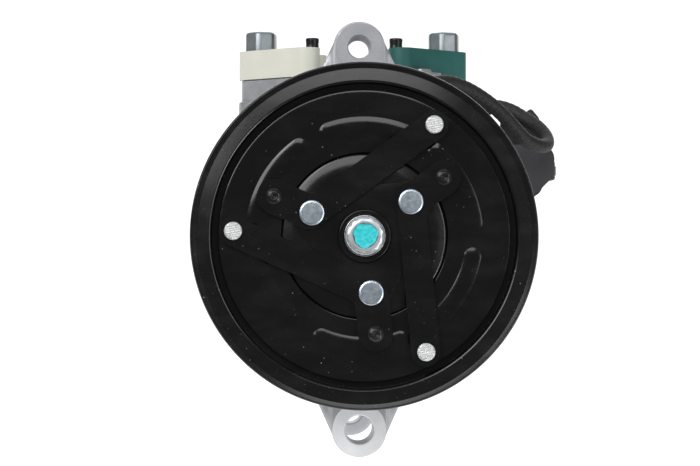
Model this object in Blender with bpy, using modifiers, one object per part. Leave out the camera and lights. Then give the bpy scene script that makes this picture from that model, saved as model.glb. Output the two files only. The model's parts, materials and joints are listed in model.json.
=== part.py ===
"""Belt-driven swash-plate compressor for vehicle air conditioning, with its electromagnetic clutch.

Frame: metres, +Z up.  The shaft runs along Y and the clutch faces -Y.  The origin is on the axis of
the lower mounting bolt, at the front face of the lower front lug.  All sizes below are millimetres.
Stations are distances along Y; radii and (x, z) pairs are measured from the shaft's axis.
"""
import math

import bmesh
import bpy
from mathutils import Matrix, Vector

MM = 0.001
GAP = 0.3                     # clearance kept between neighbouring pieces
MERGE = 1e-6

# --- Driving dimensions -------------------------------------------------------------------------
LUG_REACH = 79.0              # shaft axis to each mounting bolt's axis
BODY_RADIUS = 60.0
FRONT_HEAD_REAR = 22.0        # station of the front head's rear face
VALVE_PLATE = 3.0
REED_PLATE = 0.8
CYLINDER_CIRCLE = 34.0        # shaft axis to each cylinder's axis
BORE_RADIUS = 18.0
HALF_STROKE = 12.0
PISTON_HALF = 36.0            # half the length of a double-headed piston
CYLINDER_ANGLES = [0.0, 120.0, 240.0]                     # from +Z towards +X
BOLT_ANGLES = [30.0 + 60.0 * turn for turn in range(6)]
BOLT_CIRCLE = 52.0
CHAMBER_RADIUS = 47.0
CHAMBER_HALF = 19.6

# --- Stations that follow from them -------------------------------------------------------------
FRONT_VALVE = FRONT_HEAD_REAR + GAP
FRONT_REED = FRONT_VALVE + VALVE_PLATE + GAP
FRONT_BLOCK = FRONT_REED + REED_PLATE + GAP
SWASH_STATION = FRONT_BLOCK + PISTON_HALF + HALF_STROKE + 0.5
REAR_BLOCK_END = 2 * SWASH_STATION - FRONT_BLOCK
REAR_REED = REAR_BLOCK_END + GAP
REAR_VALVE = REAR_REED + REED_PLATE + GAP
REAR_HEAD = REAR_VALVE + VALVE_PLATE + GAP
REAR_FLANGE = REAR_HEAD + 24.6                            # face under the through bolts' heads
REAR_END = REAR_FLANGE + 5.0
TILT = math.atan2(HALF_STROKE, CYLINDER_CIRCLE)           # swash plate's slope

SHAFT_RADIUS = 9.0
NECK_RADIUS = 8.0
STUD_RADIUS = 4.0
HUB_BORE = 13.5               # shaft bearings' seat in the blocks
NOSE_RADIUS = 17.5
SEAL_BORE = 13.0

PULLEY_RADIUS = 67.5
PULLEY_FRONT = -62.0
PULLEY_REAR = -33.0
FRICTION_FACE = -55.4
CUP_RADIUS = 58.8
ARMATURE_RADIUS = 56.5
ARMATURE_FRONT = -60.0
ARMATURE_REAR = -56.0
LEAF_REAR = -60.9
LEAF_FRONT = -61.9
INNER_RIVET_CIRCLE = 22.2
STOPPER_CIRCLE = 38.2
OUTER_RIVET_CIRCLE = 50.8
TAB_ANGLES = [36.5, 156.5, 276.5]                         # from +X towards +Z
STRAP_TURN = -98.6            # outer rivet's angle from its own tab

DECK_HEIGHT = 71.7            # top of the port manifold above the shaft axis
CAP_BOTTOM = DECK_HEIGHT + GAP
CAP_TOP = 84.8
BRACKET_STATION = 42.0
BRACKET_BOLT = (50.5, LUG_REACH + 12)                     # station and height of its bolt

PARTS = None
CUTTERS = None


# --- Scene and materials ------------------------------------------------------------------------
def clear_scene():
    """Remove every object of the open file."""
    for item in list(bpy.data.objects):
        bpy.data.objects.remove(item, do_unlink=True)


def new_collection(name):
    """A collection linked to the scene."""
    made = bpy.data.collections.new(name)
    bpy.context.scene.collection.children.link(made)
    return made


FINISHES = {
    "cast_aluminium": ((0.58, 0.59, 0.60), 0.55, 0.9),
    "machined_steel": ((0.62, 0.63, 0.65), 0.30, 1.0),
    "bright_zinc": ((0.78, 0.80, 0.82), 0.25, 1.0),
    "black_paint": ((0.012, 0.012, 0.014), 0.30, 0.0),
    "black_plastic": ((0.020, 0.020, 0.022), 0.50, 0.0),
    "ivory_plastic": ((0.78, 0.77, 0.66), 0.45, 0.0),
    "green_plastic": ((0.03, 0.16, 0.15), 0.45, 0.0),
    "rubber": ((0.015, 0.015, 0.015), 0.80, 0.0),
    "bronze": ((0.45, 0.33, 0.16), 0.40, 1.0),
}


def give_material(piece, finish):
    """The piece's own Principled material."""
    colour, roughness, metallic = FINISHES[finish]
    material = bpy.data.materials.new(piece.name + "_material")
    material.use_nodes = True
    shader = material.node_tree.nodes["Principled BSDF"]
    shader.inputs["Base Color"].default_value = (*colour, 1.0)
    shader.inputs["Roughness"].default_value = roughness
    shader.inputs["Metallic"].default_value = metallic
    piece.data.materials.clear()
    piece.data.materials.append(material)


# --- Making shapes ------------------------------------------------------------------------------
def new_object(name, data, finish):
    """An object of the part, or a cutter where it has no finish."""
    piece = bpy.data.objects.new(name, data)
    if finish is None:
        CUTTERS.objects.link(piece)
        piece.hide_render = True
        piece.display_type = "WIRE"
    else:
        PARTS.objects.link(piece)
        give_material(piece, finish)
    return piece


def aim(piece, centre, direction):
    """Put the piece's own origin at centre and its own Z along direction."""
    turn = Vector((0, 0, 1)).rotation_difference(Vector(direction)).to_matrix().to_4x4()
    piece.matrix_world = Matrix.Translation(Vector(centre) * MM) @ turn


def signed_area(points):
    """Positive where the points run anticlockwise."""
    total = 0.0
    for (x0, y0), (x1, y1) in zip(points, points[1:] + points[:1]):
        total += x0 * y1 - x1 * y0
    return total / 2


def turned(name, outline, finish, centre=(0, 0, LUG_REACH), direction=(0, 1, 0), steps=24):
    """A solid turned about an axis, from (radius, station) points; a ring where none is on it."""
    points = list(outline)
    if signed_area(points) > 0:
        points.reverse()
    edges = [(i, i + 1) for i in range(len(points) - 1)]
    if min(radius for radius, _ in points) > 0:
        edges.append((len(points) - 1, 0))
    mesh = bpy.data.meshes.new(name)
    mesh.from_pydata([(radius * MM, 0, station * MM) for radius, station in points], edges, [])
    piece = new_object(name, mesh, finish)
    aim(piece, centre, direction)
    screw = piece.modifiers.new("turn", "SCREW")
    screw.steps = steps
    screw.render_steps = steps
    screw.use_merge_vertices = True
    screw.merge_threshold = MERGE
    return piece


def ring(name, inner, outer, start, end, finish, steps=24):
    """A plain ring on the shaft's axis."""
    return turned(name, [(outer, end), (outer, start), (inner, start), (inner, end)], finish, steps=steps)


def cylinders(name, rods, finish, sides):
    """Separate cylinders in one mesh, each given as (start, end, radius)."""
    bm = bmesh.new()
    for start, end, radius in rods:
        low, high = Vector(start) * MM, Vector(end) * MM
        turn = Vector((0, 0, 1)).rotation_difference(high - low).to_matrix().to_4x4()
        place = Matrix.Translation((low + high) / 2) @ turn
        bmesh.ops.create_cone(bm, cap_ends=True, segments=sides, radius1=radius * MM,
                              radius2=radius * MM, depth=(high - low).length, matrix=place)
    mesh = bpy.data.meshes.new(name)
    bm.to_mesh(mesh)
    bm.free()
    return new_object(name, mesh, finish)


def block(name, low, high, finish, turn=None):
    """A box between two corners, turned about the shaft's axis where an angle is given."""
    low, high = Vector(low) * MM, Vector(high) * MM
    size = high - low
    bm = bmesh.new()
    place = Matrix.Translation((low + high) / 2) @ Matrix.Diagonal((*size, 1))
    bmesh.ops.create_cube(bm, size=1.0, matrix=place)
    if turn is not None:
        bmesh.ops.rotate(bm, verts=bm.verts, cent=(0, 0, LUG_REACH * MM),
                         matrix=Matrix.Rotation(turn, 3, "Y"))
    mesh = bpy.data.meshes.new(name)
    bm.to_mesh(mesh)
    bm.free()
    return new_object(name, mesh, finish)


def bake(piece):
    """Turn the piece's curve or modifiers into a plain closed mesh, with its flat faces kept flat."""
    bpy.context.view_layer.update()
    graph = bpy.context.evaluated_depsgraph_get()
    mesh = bpy.data.meshes.new_from_object(piece.evaluated_get(graph))
    bm = bmesh.new()
    bm.from_mesh(mesh)
    bmesh.ops.remove_doubles(bm, verts=bm.verts, dist=MERGE)
    bmesh.ops.dissolve_degenerate(bm, dist=MERGE, edges=bm.edges)
    bm.to_mesh(mesh)
    bm.free()
    name, world, finish = piece.name, piece.matrix_world.copy(), piece.active_material
    homes = list(piece.users_collection)
    hidden = piece.hide_render
    bpy.data.objects.remove(piece, do_unlink=True)
    made = bpy.data.objects.new(name, mesh)
    for home in homes:
        home.objects.link(made)
    made.matrix_world = world
    made.hide_render = hidden
    made.display_type = "WIRE" if hidden else "TEXTURED"
    mesh.materials.clear()
    if finish is not None:
        mesh.materials.append(finish)
    mesh.shade_smooth()
    mesh.set_sharp_from_angle(angle=math.radians(30))
    return made


def flat_plate(name, outlines, start, end, finish, upright=True):
    """A plate cut to closed outlines, the first its edge and the rest its holes.

    Upright plates take (x, z) outlines about the shaft axis and lie between two stations.
    The others take (x, y) outlines and lie between two heights above the shaft axis.
    """
    curve = bpy.data.curves.new(name, "CURVE")
    curve.dimensions = "2D"
    curve.fill_mode = "BOTH"
    curve.extrude = abs(end - start) / 2 * MM
    for outline in outlines:
        spline = curve.splines.new("POLY")
        spline.points.add(len(outline) - 1)
        for point, (across, along) in zip(spline.points, outline):
            point.co = (across * MM, along * MM, 0, 1)
        spline.use_cyclic_u = True
    piece = new_object(name, curve, finish)
    middle = (start + end) / 2 * MM
    if upright:
        piece.matrix_world = (Matrix.Translation((0, middle, LUG_REACH * MM))
                              @ Matrix.Rotation(math.radians(90), 4, "X"))
    else:
        piece.matrix_world = Matrix.Translation((0, 0, LUG_REACH * MM + middle))
    return bake(piece)


def combine(piece, other, operation):
    """Cut, join or intersect the piece with another object."""
    step = piece.modifiers.new(operation.lower(), "BOOLEAN")
    step.operation = operation
    step.solver = "EXACT"
    step.object = other
    return piece


def cut(piece, *cutters):
    """Cut the piece with each cutter."""
    for cutter in cutters:
        combine(piece, cutter, "DIFFERENCE")
    return piece


def join(piece, *others):
    """Join shapes made as cutters to the piece."""
    for other in others:
        combine(piece, other, "UNION")
    return piece


# --- Outlines -----------------------------------------------------------------------------------
def polar(radius, degrees):
    """A point in the plane across the shaft, from +X towards +Z."""
    angle = math.radians(degrees)
    return (radius * math.cos(angle), radius * math.sin(angle))


def arc(centre, radius, start, end, count):
    """Points on an arc, both ends included."""
    points = []
    for index in range(count + 1):
        x, z = polar(radius, start + (end - start) * index / count)
        points.append((centre[0] + x, centre[1] + z))
    return points


def circle(centre, radius, count):
    """Points round a whole circle."""
    return arc(centre, radius, 0, 360, count)[:-1]


def hull(circles, count=16):
    """The outline of a band stretched round circles given as (x, y, radius)."""
    cloud = []
    for x, y, radius in circles:
        cloud.extend(circle((x, y), radius, count))
    cloud = sorted(set((round(x, 6), round(y, 6)) for x, y in cloud))

    def half(points):
        chain = []
        for point in points:
            while len(chain) > 1:
                (ax, ay), (bx, by) = chain[-2], chain[-1]
                if (bx - ax) * (point[1] - ay) - (by - ay) * (point[0] - ax) > 1e-9:
                    break
                chain.pop()
            chain.append(point)
        return chain[:-1]

    return half(cloud) + half(cloud[::-1])


def around_z(radius, degrees):
    """(x, z) of a point on a circle, its angle taken from +Z towards +X."""
    angle = math.radians(degrees)
    return (radius * math.sin(angle), radius * math.cos(angle))


def along_shaft(place, start, end, radius):
    """A cylinder parallel to the shaft, for cylinders()."""
    x, z = place
    return ((x, start, LUG_REACH + z), (x, end, LUG_REACH + z), radius)


def bolt_holes(start, end, radius=3.4):
    """The through bolts' six holes."""
    return [along_shaft(around_z(BOLT_CIRCLE, angle), start, end, radius) for angle in BOLT_ANGLES]


# --- Castings -----------------------------------------------------------------------------------
LUG_BASE = 46.0               # height at which a lug's web meets the body


def lug_outline(side, radius):
    """A lug's round end and its web down to the body; side is 1 above the shaft, -1 below."""
    return hull([(0, side * LUG_REACH, radius), (26, side * LUG_BASE, 1), (-26, side * LUG_BASE, 1)], 20)


def lug(name, side, radius, start, end):
    """A lug between two stations, as a shape to join."""
    return flat_plate(name, [lug_outline(side, radius)], start, end, None)


def lug_hole(name, side, radius, start, end):
    """The hole for a lug's bolt."""
    rod = along_shaft((0, side * LUG_REACH), start - 2, end + 2, radius)
    return cylinders(name, [rod], None, 16)


def plenums(start, end):
    """The head's two ring-shaped gas spaces, as part of a turned outline from the inside out."""
    return [(17, start), (17, end), (31, end), (31, start), (34, start), (34, end), (47.5, end),
            (47.5, start)]


def make_front_head():
    """Nose for the clutch bearing, shaft seal bore, gas spaces and the two front lugs."""
    outline = [(BODY_RADIUS, FRONT_HEAD_REAR), (BODY_RADIUS, -4), (52, -11), (36.5, -24), (36.5, -26),
               (19.5, -26), (19.5, -30.7), (NOSE_RADIUS, -30.7), (NOSE_RADIUS, -53), (SEAL_BORE, -53),
               (SEAL_BORE, -30), (10.5, -30), (10.5, 0), (HUB_BORE, 0), (HUB_BORE, FRONT_HEAD_REAR)]
    outline += plenums(FRONT_HEAD_REAR, FRONT_HEAD_REAR - 10)
    head = turned("front_head", outline, "cast_aluminium", steps=28)
    join(head, lug("front_upper_lug", 1, 10.7, 0, FRONT_HEAD_REAR),
         lug("front_lower_lug", -1, 11.4, 0, FRONT_HEAD_REAR))
    cut(head, lug_hole("front_upper_hole", 1, 4.55, 0, FRONT_HEAD_REAR),
        lug_hole("front_lower_hole", -1, 5.85, 0, FRONT_HEAD_REAR))
    cut(head, cylinders("front_bolt_threads", bolt_holes(-1, FRONT_HEAD_REAR + 2), None, 8))
    return bake(head)


def make_rear_head():
    """Closed rear cover with gas spaces, bolt seats and the rear lug."""
    outline = [(0, REAR_END), (40, REAR_END), (42, REAR_FLANGE), (BODY_RADIUS, REAR_FLANGE),
               (BODY_RADIUS, REAR_HEAD)]
    outline += plenums(REAR_HEAD, REAR_HEAD + 11)[::-1]
    outline += [(13, REAR_HEAD), (13, REAR_HEAD + 11), (0, REAR_HEAD + 11)]
    head = turned("rear_head", outline, "cast_aluminium", steps=28)
    join(head, lug("rear_lug", -1, 11.4, REAR_HEAD, REAR_HEAD + 20))
    cut(head, lug_hole("rear_lug_hole", -1, 5.85, REAR_HEAD, REAR_HEAD + 20))
    cut(head, cylinders("rear_bolt_holes", bolt_holes(REAR_HEAD - 2, REAR_FLANGE + 2), None, 8))
    return bake(head)


def cylinder_block(name, start, end, chamber_start, chamber_end):
    """Half of the cylinder body: three bores, the shaft bearing's seat and half the swash chamber."""
    body = turned(name, [(BODY_RADIUS, end), (BODY_RADIUS, start), (HUB_BORE, start), (HUB_BORE, end)],
                  "cast_aluminium", steps=32)
    bores = [along_shaft(around_z(CYLINDER_CIRCLE, angle), start - 2, end + 2, BORE_RADIUS)
             for angle in CYLINDER_ANGLES]
    cut(body, cylinders(name + "_bores", bores, None, 20))
    chamber = [along_shaft((0, 0), chamber_start, chamber_end, CHAMBER_RADIUS)]
    cut(body, cylinders(name + "_chamber", chamber, None, 32))
    cut(body, cylinders(name + "_bolts", bolt_holes(start - 2, end + 2), None, 8))
    return body


def make_blocks():
    """Front and rear cylinder blocks, split at the swash plate, with the O-ring between them."""
    split = SWASH_STATION - GAP / 2
    front = cylinder_block("front_cylinder_block", FRONT_BLOCK, split, SWASH_STATION - CHAMBER_HALF,
                           SWASH_STATION + 5)
    groove = ring("o_ring_groove", 56.2, 58.6, split - 2.1, split + 2, None, 32)
    pad = block("bracket_pad", (54, 42.5, LUG_REACH + 5), (62, 58, LUG_REACH + 19), None)
    thread = cylinders("bracket_thread", [((53, *BRACKET_BOLT), (64, *BRACKET_BOLT), 2.8)], None, 12)
    join(front, pad)
    cut(front, groove, thread)
    rear = cylinder_block("rear_cylinder_block", split + GAP, REAR_BLOCK_END, SWASH_STATION - 5,
                          SWASH_STATION + CHAMBER_HALF)
    middle = split - 1.05
    section = [(57.4 + x, middle + y) for x, y in circle((0, 0), 0.75, 6)]
    seal = turned("block_o_ring", section, "rubber", steps=32)
    return [bake(front), bake(rear), bake(seal)]


def reed_slot(place, angle):
    """The U-shaped slot that frees a suction reed, its tongue pointing away from the shaft."""
    outside = arc((0, 0), 6.2, -90, 90, 5)
    inside = arc((0, 0), 5.0, 90, -90, 5)
    shape = outside + [(-9, 6.2), (-9, 5.0)] + inside + [(-9, -5.0), (-9, -6.2)]
    turn = math.radians(90 - angle)
    return [(place[0] + x * math.cos(turn) - z * math.sin(turn),
             place[1] + x * math.sin(turn) + z * math.cos(turn)) for x, z in shape]


def make_plates(side, valve_start, reed_start, shaft_hole):
    """A head's valve plate and its thin reed plate."""
    bolts = [circle(around_z(BOLT_CIRCLE, angle), 3.4, 8) for angle in BOLT_ANGLES]
    discharge = [circle(around_z(26, angle), 3.2, 8) for angle in CYLINDER_ANGLES]
    suction = [circle(around_z(41.5, angle), 3.4, 8) for angle in CYLINDER_ANGLES]
    slots = [reed_slot(around_z(41.5, angle), angle) for angle in CYLINDER_ANGLES]
    edge = circle((0, 0), BODY_RADIUS, 32)
    centre = circle((0, 0), shaft_hole, 16)
    valve = flat_plate(side + "_valve_plate", [edge, centre] + bolts + discharge + suction, valve_start,
                       valve_start + VALVE_PLATE, "machined_steel")
    reed = flat_plate(side + "_reed_plate", [edge, centre] + bolts + discharge + slots, reed_start,
                      reed_start + REED_PLATE, "machined_steel")
    return [valve, reed]


def make_through_bolts():
    """Six long hexagon bolts from the rear head into the front head."""
    made = []
    for number, angle in enumerate(BOLT_ANGLES, 1):
        place = around_z(BOLT_CIRCLE, angle)
        bolt = cylinders("through_bolt_%d" % number, [along_shaft(place, 0.5, REAR_FLANGE + 3, 3.0)],
                         "bright_zinc", 8)
        seat = REAR_FLANGE + GAP
        join(bolt, cylinders("bolt_head_%d" % number, [along_shaft(place, seat, seat + 5.5, 5.8)], None, 6))
        made.append(bake(bolt))
    return made


# --- Ports --------------------------------------------------------------------------------------
PORT_PLAN = [(20.8, 67.0, 5.6), (45.0, 87.0, 5.0), (41.0, 99.0, 8.0)]
CAP_PLAN = [(21.2, 66.8, 6.0), (45.8, 87.0, 5.2), (40.8, 98.0, 8.5), (23.0, 86.0, 7.8)]
CAP_BOLT = (41.3, 92.0)
PORT = (26.0, 76.0)
CAP_BOLT_CORNER = 7.15        # its head's radius at the corners
CAP_BOLT_HEAD = 9.3           # its head's top above the cap
CAP_PLUG = (18.5, 69.0)
CAP_PLUG_HEAD = 4.6


def upright_rod(side, place, bottom, top, radius):
    """A cylinder standing on the manifold's deck; side is -1 for suction and 1 for discharge."""
    x, y = side * place[0], place[1]
    return ((x, y, LUG_REACH + bottom), (x, y, LUG_REACH + top), radius)


def make_manifold():
    """The saddle casting on top of the blocks, with both ports and their bolt holes."""
    plan = hull([(side * x, y, r) for x, y, r in PORT_PLAN for side in (-1, 1)])
    manifold = flat_plate("port_manifold", [plan], 40, DECK_HEIGHT, "cast_aluminium", upright=False)
    foot_plan = hull([(side * (x + 1.4), y, r) for x, y, r in PORT_PLAN for side in (-1, 1)])
    foot = flat_plate("manifold_foot", [foot_plan], 36, 62, None, upright=False)
    saddle = [along_shaft((0, 0), 40, 130, BODY_RADIUS + GAP)]
    bores = []
    for side in (-1, 1):
        bores.append(upright_rod(side, PORT, DECK_HEIGHT - 12, DECK_HEIGHT + 2, 7.6))
        bores.append(upright_rod(side, CAP_BOLT, DECK_HEIGHT - 14, DECK_HEIGHT + 2, 4.3))
    join(manifold, foot)
    cut(manifold, cylinders("saddle_cutter", saddle, None, 48))
    cut(manifold, cylinders("port_bores", bores, None, 16))
    return bake(manifold)


def make_cap(name, side, finish):
    """A port's plastic cap with its spigot, hexagon bolt and small plug."""
    plan = hull([(side * x, y, r) for x, y, r in CAP_PLAN], 20)
    cap = flat_plate(name, [plan], CAP_BOTTOM, CAP_TOP, finish, upright=False)
    spigot = [upright_rod(side, PORT, DECK_HEIGHT - 8, CAP_BOTTOM + 2, 7.1)]
    holes = [upright_rod(side, CAP_BOLT, CAP_BOTTOM - 2, CAP_TOP + 2, 4.3)]
    holes.append(upright_rod(side, CAP_PLUG, CAP_TOP - 5, CAP_TOP + 2, 2.4))
    join(cap, cylinders(name + "_spigot", spigot, None, 16))
    cut(cap, cylinders(name + "_holes", holes, None, 16))
    bolt = cylinders(name + "_bolt", [upright_rod(side, CAP_BOLT, DECK_HEIGHT - 13, CAP_TOP + 2, 4.0)],
                     "bright_zinc", 12)
    head = [upright_rod(side, CAP_BOLT, CAP_TOP + GAP, CAP_TOP + CAP_BOLT_HEAD, CAP_BOLT_CORNER)]
    join(bolt, cylinders(name + "_bolt_head", head, None, 18))
    plug = cylinders(name + "_plug", [upright_rod(side, CAP_PLUG, CAP_TOP - 4.5, CAP_TOP + 2, 2.1)],
                     "rubber", 12)
    plug_top = [upright_rod(side, CAP_PLUG, CAP_TOP + GAP, CAP_TOP + CAP_PLUG_HEAD, 2.8)]
    join(plug, cylinders(name + "_plug_top", plug_top, None, 12))
    return [bake(cap), bake(bolt), bake(plug)]


# --- Shaft, seal and bearings -------------------------------------------------------------------
def make_shaft_group():
    """Drive shaft, its bearings and seal, and the swash hub with its two thrust bearings."""
    shaft = turned("drive_shaft", [(0, -69.6), (STUD_RADIUS, -69.6), (STUD_RADIUS, -63.2),
                                   (NECK_RADIUS, -63.2), (NECK_RADIUS, -30), (SHAFT_RADIUS, -30),
                                   (SHAFT_RADIUS, REAR_BLOCK_END - 2), (0, REAR_BLOCK_END - 2)],
                   "machined_steel")
    bearing_inner, bearing_outer = SHAFT_RADIUS + 0.35, HUB_BORE - GAP
    hub_end = FRONT_BLOCK + 16
    fixed = [
        ring("front_needle_bearing", bearing_inner, bearing_outer, hub_end - 2, hub_end + 12,
             "machined_steel"),
        ring("rear_needle_bearing", bearing_inner, bearing_outer, SWASH_STATION + 21,
             SWASH_STATION + 35, "machined_steel"),
        turned("shaft_seal", [(12.6, -34), (12.6, -46), (8.4, -46), (8.4, -43), (9.8, -42), (9.8, -34)],
               "rubber", steps=20),
    ]
    bearings = []
    for side, name in ((-1, "front_thrust_bearing"), (1, "rear_thrust_bearing")):
        near, far = SWASH_STATION + side * 16.3, SWASH_STATION + side * 19.3
        bearings.append(ring(name, 9.35, 15, min(near, far), max(near, far), "machined_steel", 20))
    return [bake(shaft)] + [bake(piece) for piece in fixed + bearings]


def tilt_direction(side=1):
    """The swash plate's normal at rest."""
    return (0, side * math.cos(TILT), -side * math.sin(TILT))


SWASH_CENTRE = (0, SWASH_STATION, LUG_REACH)
RING_INNER = 24.0
RING_OUTER = 42.0
RING_HALF = 4.0
BALL_RADIUS = 9.0


def make_swash():
    """The tilted hub keyed to the shaft and the wear ring that the shoes slide on."""
    hub = turned("swash_hub", [(0, 16), (14, 16), (14, -16), (0, -16)], "machined_steel", SWASH_CENTRE)
    disc_radius, disc_half = RING_INNER - GAP, RING_HALF - GAP
    disc = turned("swash_disc", [(0, disc_half), (disc_radius, disc_half), (disc_radius, -disc_half),
                                 (0, -disc_half)], None, SWASH_CENTRE, tilt_direction(), 32)
    join(hub, disc)
    bore = [along_shaft((0, 0), SWASH_STATION - 20, SWASH_STATION + 20, SHAFT_RADIUS + GAP)]
    cut(hub, cylinders("swash_bore", bore, None, 24))
    wear = turned("swash_ring", [(RING_OUTER, RING_HALF), (RING_OUTER, -RING_HALF),
                                 (RING_INNER, -RING_HALF), (RING_INNER, RING_HALF)],
                  "bronze", SWASH_CENTRE, tilt_direction(), 32)
    return [bake(hub), bake(wear)]


def ball_centre(angle):
    """Where a piston's ball centre is at rest, on the tilted plane."""
    x, z = around_z(CYLINDER_CIRCLE, angle)
    return (x, SWASH_STATION + z * math.tan(TILT), LUG_REACH + z)


def shoe_outline():
    """A shoe: a ball's cap with a flat base, which slides on the wear ring."""
    base = RING_HALF + GAP
    low = math.degrees(math.asin(base / BALL_RADIUS))
    points = [(BALL_RADIUS * math.cos(math.radians(a)), BALL_RADIUS * math.sin(math.radians(a)))
              for a in [low + (90 - low) * step / 4 for step in range(4)]]
    return [(0, BALL_RADIUS)] + points[::-1] + [(0, base)]


def make_piston(number, angle):
    """A double-headed piston, open at its waist for the wear ring and its two shoes."""
    centre = ball_centre(angle)
    radius, half = BORE_RADIUS - GAP, PISTON_HALF
    outline = [(0, half), (radius - 0.6, half), (radius, half - 0.6), (radius, 0.6 - half),
               (radius - 0.6, -half), (0, -half)]
    piston = turned("piston_%d" % number, outline, "cast_aluminium", centre, steps=20)
    relief = [(0, 4.6), (24, 4.6 + 24 * 0.382), (24, -4.6 - 24 * 0.382), (0, -4.6)]
    slot = turned("slot_%d" % number, relief, None, centre, steps=20)
    outward = math.radians(angle)
    reach = CYLINDER_CIRCLE + 9.7
    side_box = block("slot_limit_%d" % number, (-30, SWASH_STATION - 40, LUG_REACH + 2),
                     (30, SWASH_STATION + 40, LUG_REACH + reach), None, outward)
    combine(slot, side_box, "INTERSECT")
    slot = bake(slot)
    bm = bmesh.new()
    bmesh.ops.create_uvsphere(bm, u_segments=16, v_segments=8, radius=(BALL_RADIUS + 0.7) * MM,
                              matrix=Matrix.Translation(Vector(centre) * MM))
    mesh = bpy.data.meshes.new("pocket")
    bm.to_mesh(mesh)
    bm.free()
    pocket = new_object("pocket_%d" % number, mesh, None)
    cut(piston, slot, pocket)
    front = turned("front_shoe_%d" % number, shoe_outline(), "machined_steel", centre, tilt_direction(-1),
                   12)
    rear = turned("rear_shoe_%d" % number, shoe_outline(), "machined_steel", centre, tilt_direction(), 12)
    return [bake(piston), bake(front), bake(rear)]


# --- Clutch -------------------------------------------------------------------------------------
def make_pulley():
    """Rotor and poly-V pulley in one, its bearing, and the coil it turns round."""
    rim_step = PULLEY_RADIUS - 1.1
    outline = [(PULLEY_RADIUS, PULLEY_REAR), (PULLEY_RADIUS, PULLEY_REAR - 2), (rim_step, PULLEY_REAR - 3),
               (rim_step, PULLEY_FRONT + 3.5), (PULLEY_RADIUS, PULLEY_FRONT + 2.5),
               (PULLEY_RADIUS, PULLEY_FRONT + 0.8), (PULLEY_RADIUS - 0.8, PULLEY_FRONT),
               (62.8, PULLEY_FRONT), (62.4, PULLEY_FRONT + 0.5), (59.3, PULLEY_FRONT + 1.4),
               (CUP_RADIUS, PULLEY_FRONT + 1.9), (CUP_RADIUS, FRICTION_FACE), (25.5, FRICTION_FACE),
               (25.5, -52), (27.8, -52), (27.8, -31), (31.5, -31), (31.5, -50.5), (54.5, -50.5),
               (54.5, PULLEY_REAR)]
    pulley = turned("pulley", outline, "black_paint", steps=40)
    outer = ring("pulley_bearing_outer", 23.8, 27.5, -51, -31.3, "machined_steel")
    inner = ring("pulley_bearing_inner", 17.8, 21.2, -51, -31.3, "machined_steel")
    snap = ring("bearing_snap_ring", 17.8, 20.6, -52.7, -51.3, "machined_steel")
    opening = block("snap_ring_opening", (-2.5, -54, LUG_REACH - 24), (2.5, -50, LUG_REACH - 10), None)
    cut(snap, opening)
    coil = turned("clutch_coil", [(53.7, -26.3), (53.7, -49.7), (32.3, -49.7), (32.3, -29.3),
                                  (20.3, -29.3), (20.3, -26.3)], "black_paint", steps=32)
    boss = block("lead_boss", (-5, -29, LUG_REACH + 48), (5, -18.5, LUG_REACH + 57.7), None,
                 math.radians(90 - LEAD_EXIT_ANGLE))
    join(coil, boss)
    return [bake(pulley), bake(outer)], [bake(inner), bake(snap), bake(coil)]


def make_armature():
    """The armature plate and the three rivets that hang it on the leaf springs."""
    places = [polar(OUTER_RIVET_CIRCLE, angle + STRAP_TURN) for angle in TAB_ANGLES]
    holes = [circle(place, 2.4, 8) for place in places]
    outlines = [circle((0, 0), ARMATURE_RADIUS, 40), circle((0, 0), 32.3, 32)] + holes
    made = [flat_plate("armature_plate", outlines, ARMATURE_FRONT, ARMATURE_REAR, "black_paint")]
    for number, place in enumerate(places, 1):
        rivet = cylinders("armature_rivet_%d" % number,
                          [along_shaft(place, LEAF_FRONT - 0.9, ARMATURE_REAR - 0.3, 2.0)],
                          "bright_zinc", 8)
        head = [along_shaft(place, LEAF_FRONT - 1.4, LEAF_FRONT - 0.6, 3.5)]
        join(rivet, cylinders("armature_rivet_head_%d" % number, head, None, 12))
        made.append(bake(rivet))
    return made


def leaf_outline(angle):
    """An L-shaped leaf: a short radial tab and a long strap, both running from the inner rivet."""
    corner = polar(INNER_RIVET_CIRCLE, angle)
    tab_end = polar(STOPPER_CIRCLE, angle)
    strap_end = polar(OUTER_RIVET_CIRCLE, angle + STRAP_TURN)
    strap = math.degrees(math.atan2(strap_end[1] - corner[1], strap_end[0] - corner[0]))
    tab_half, strap_half = 6.6, 5.6
    ax, az = polar(tab_half, angle - 90)
    bx, bz = polar(strap_half, strap + 90)
    ux, uz = polar(1, angle)
    vx, vz = polar(1, strap)
    along = ((bx - ax) * -vz + (bz - az) * vx) / (ux * -vz + uz * vx)
    crotch = (corner[0] + ax + along * ux, corner[1] + az + along * uz)
    points = [crotch] + arc(tab_end, tab_half, angle - 90, angle + 90, 8)
    heel_start, heel_end = angle + 90, strap + 270
    for step in range(5):
        turn = heel_start + (heel_end - heel_start) * step / 4
        x, z = polar(tab_half + (strap_half - tab_half) * step / 4, turn)
        points.append((corner[0] + x, corner[1] + z))
    return points + arc(strap_end, strap_half, strap + 270, strap + 450, 8)


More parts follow.
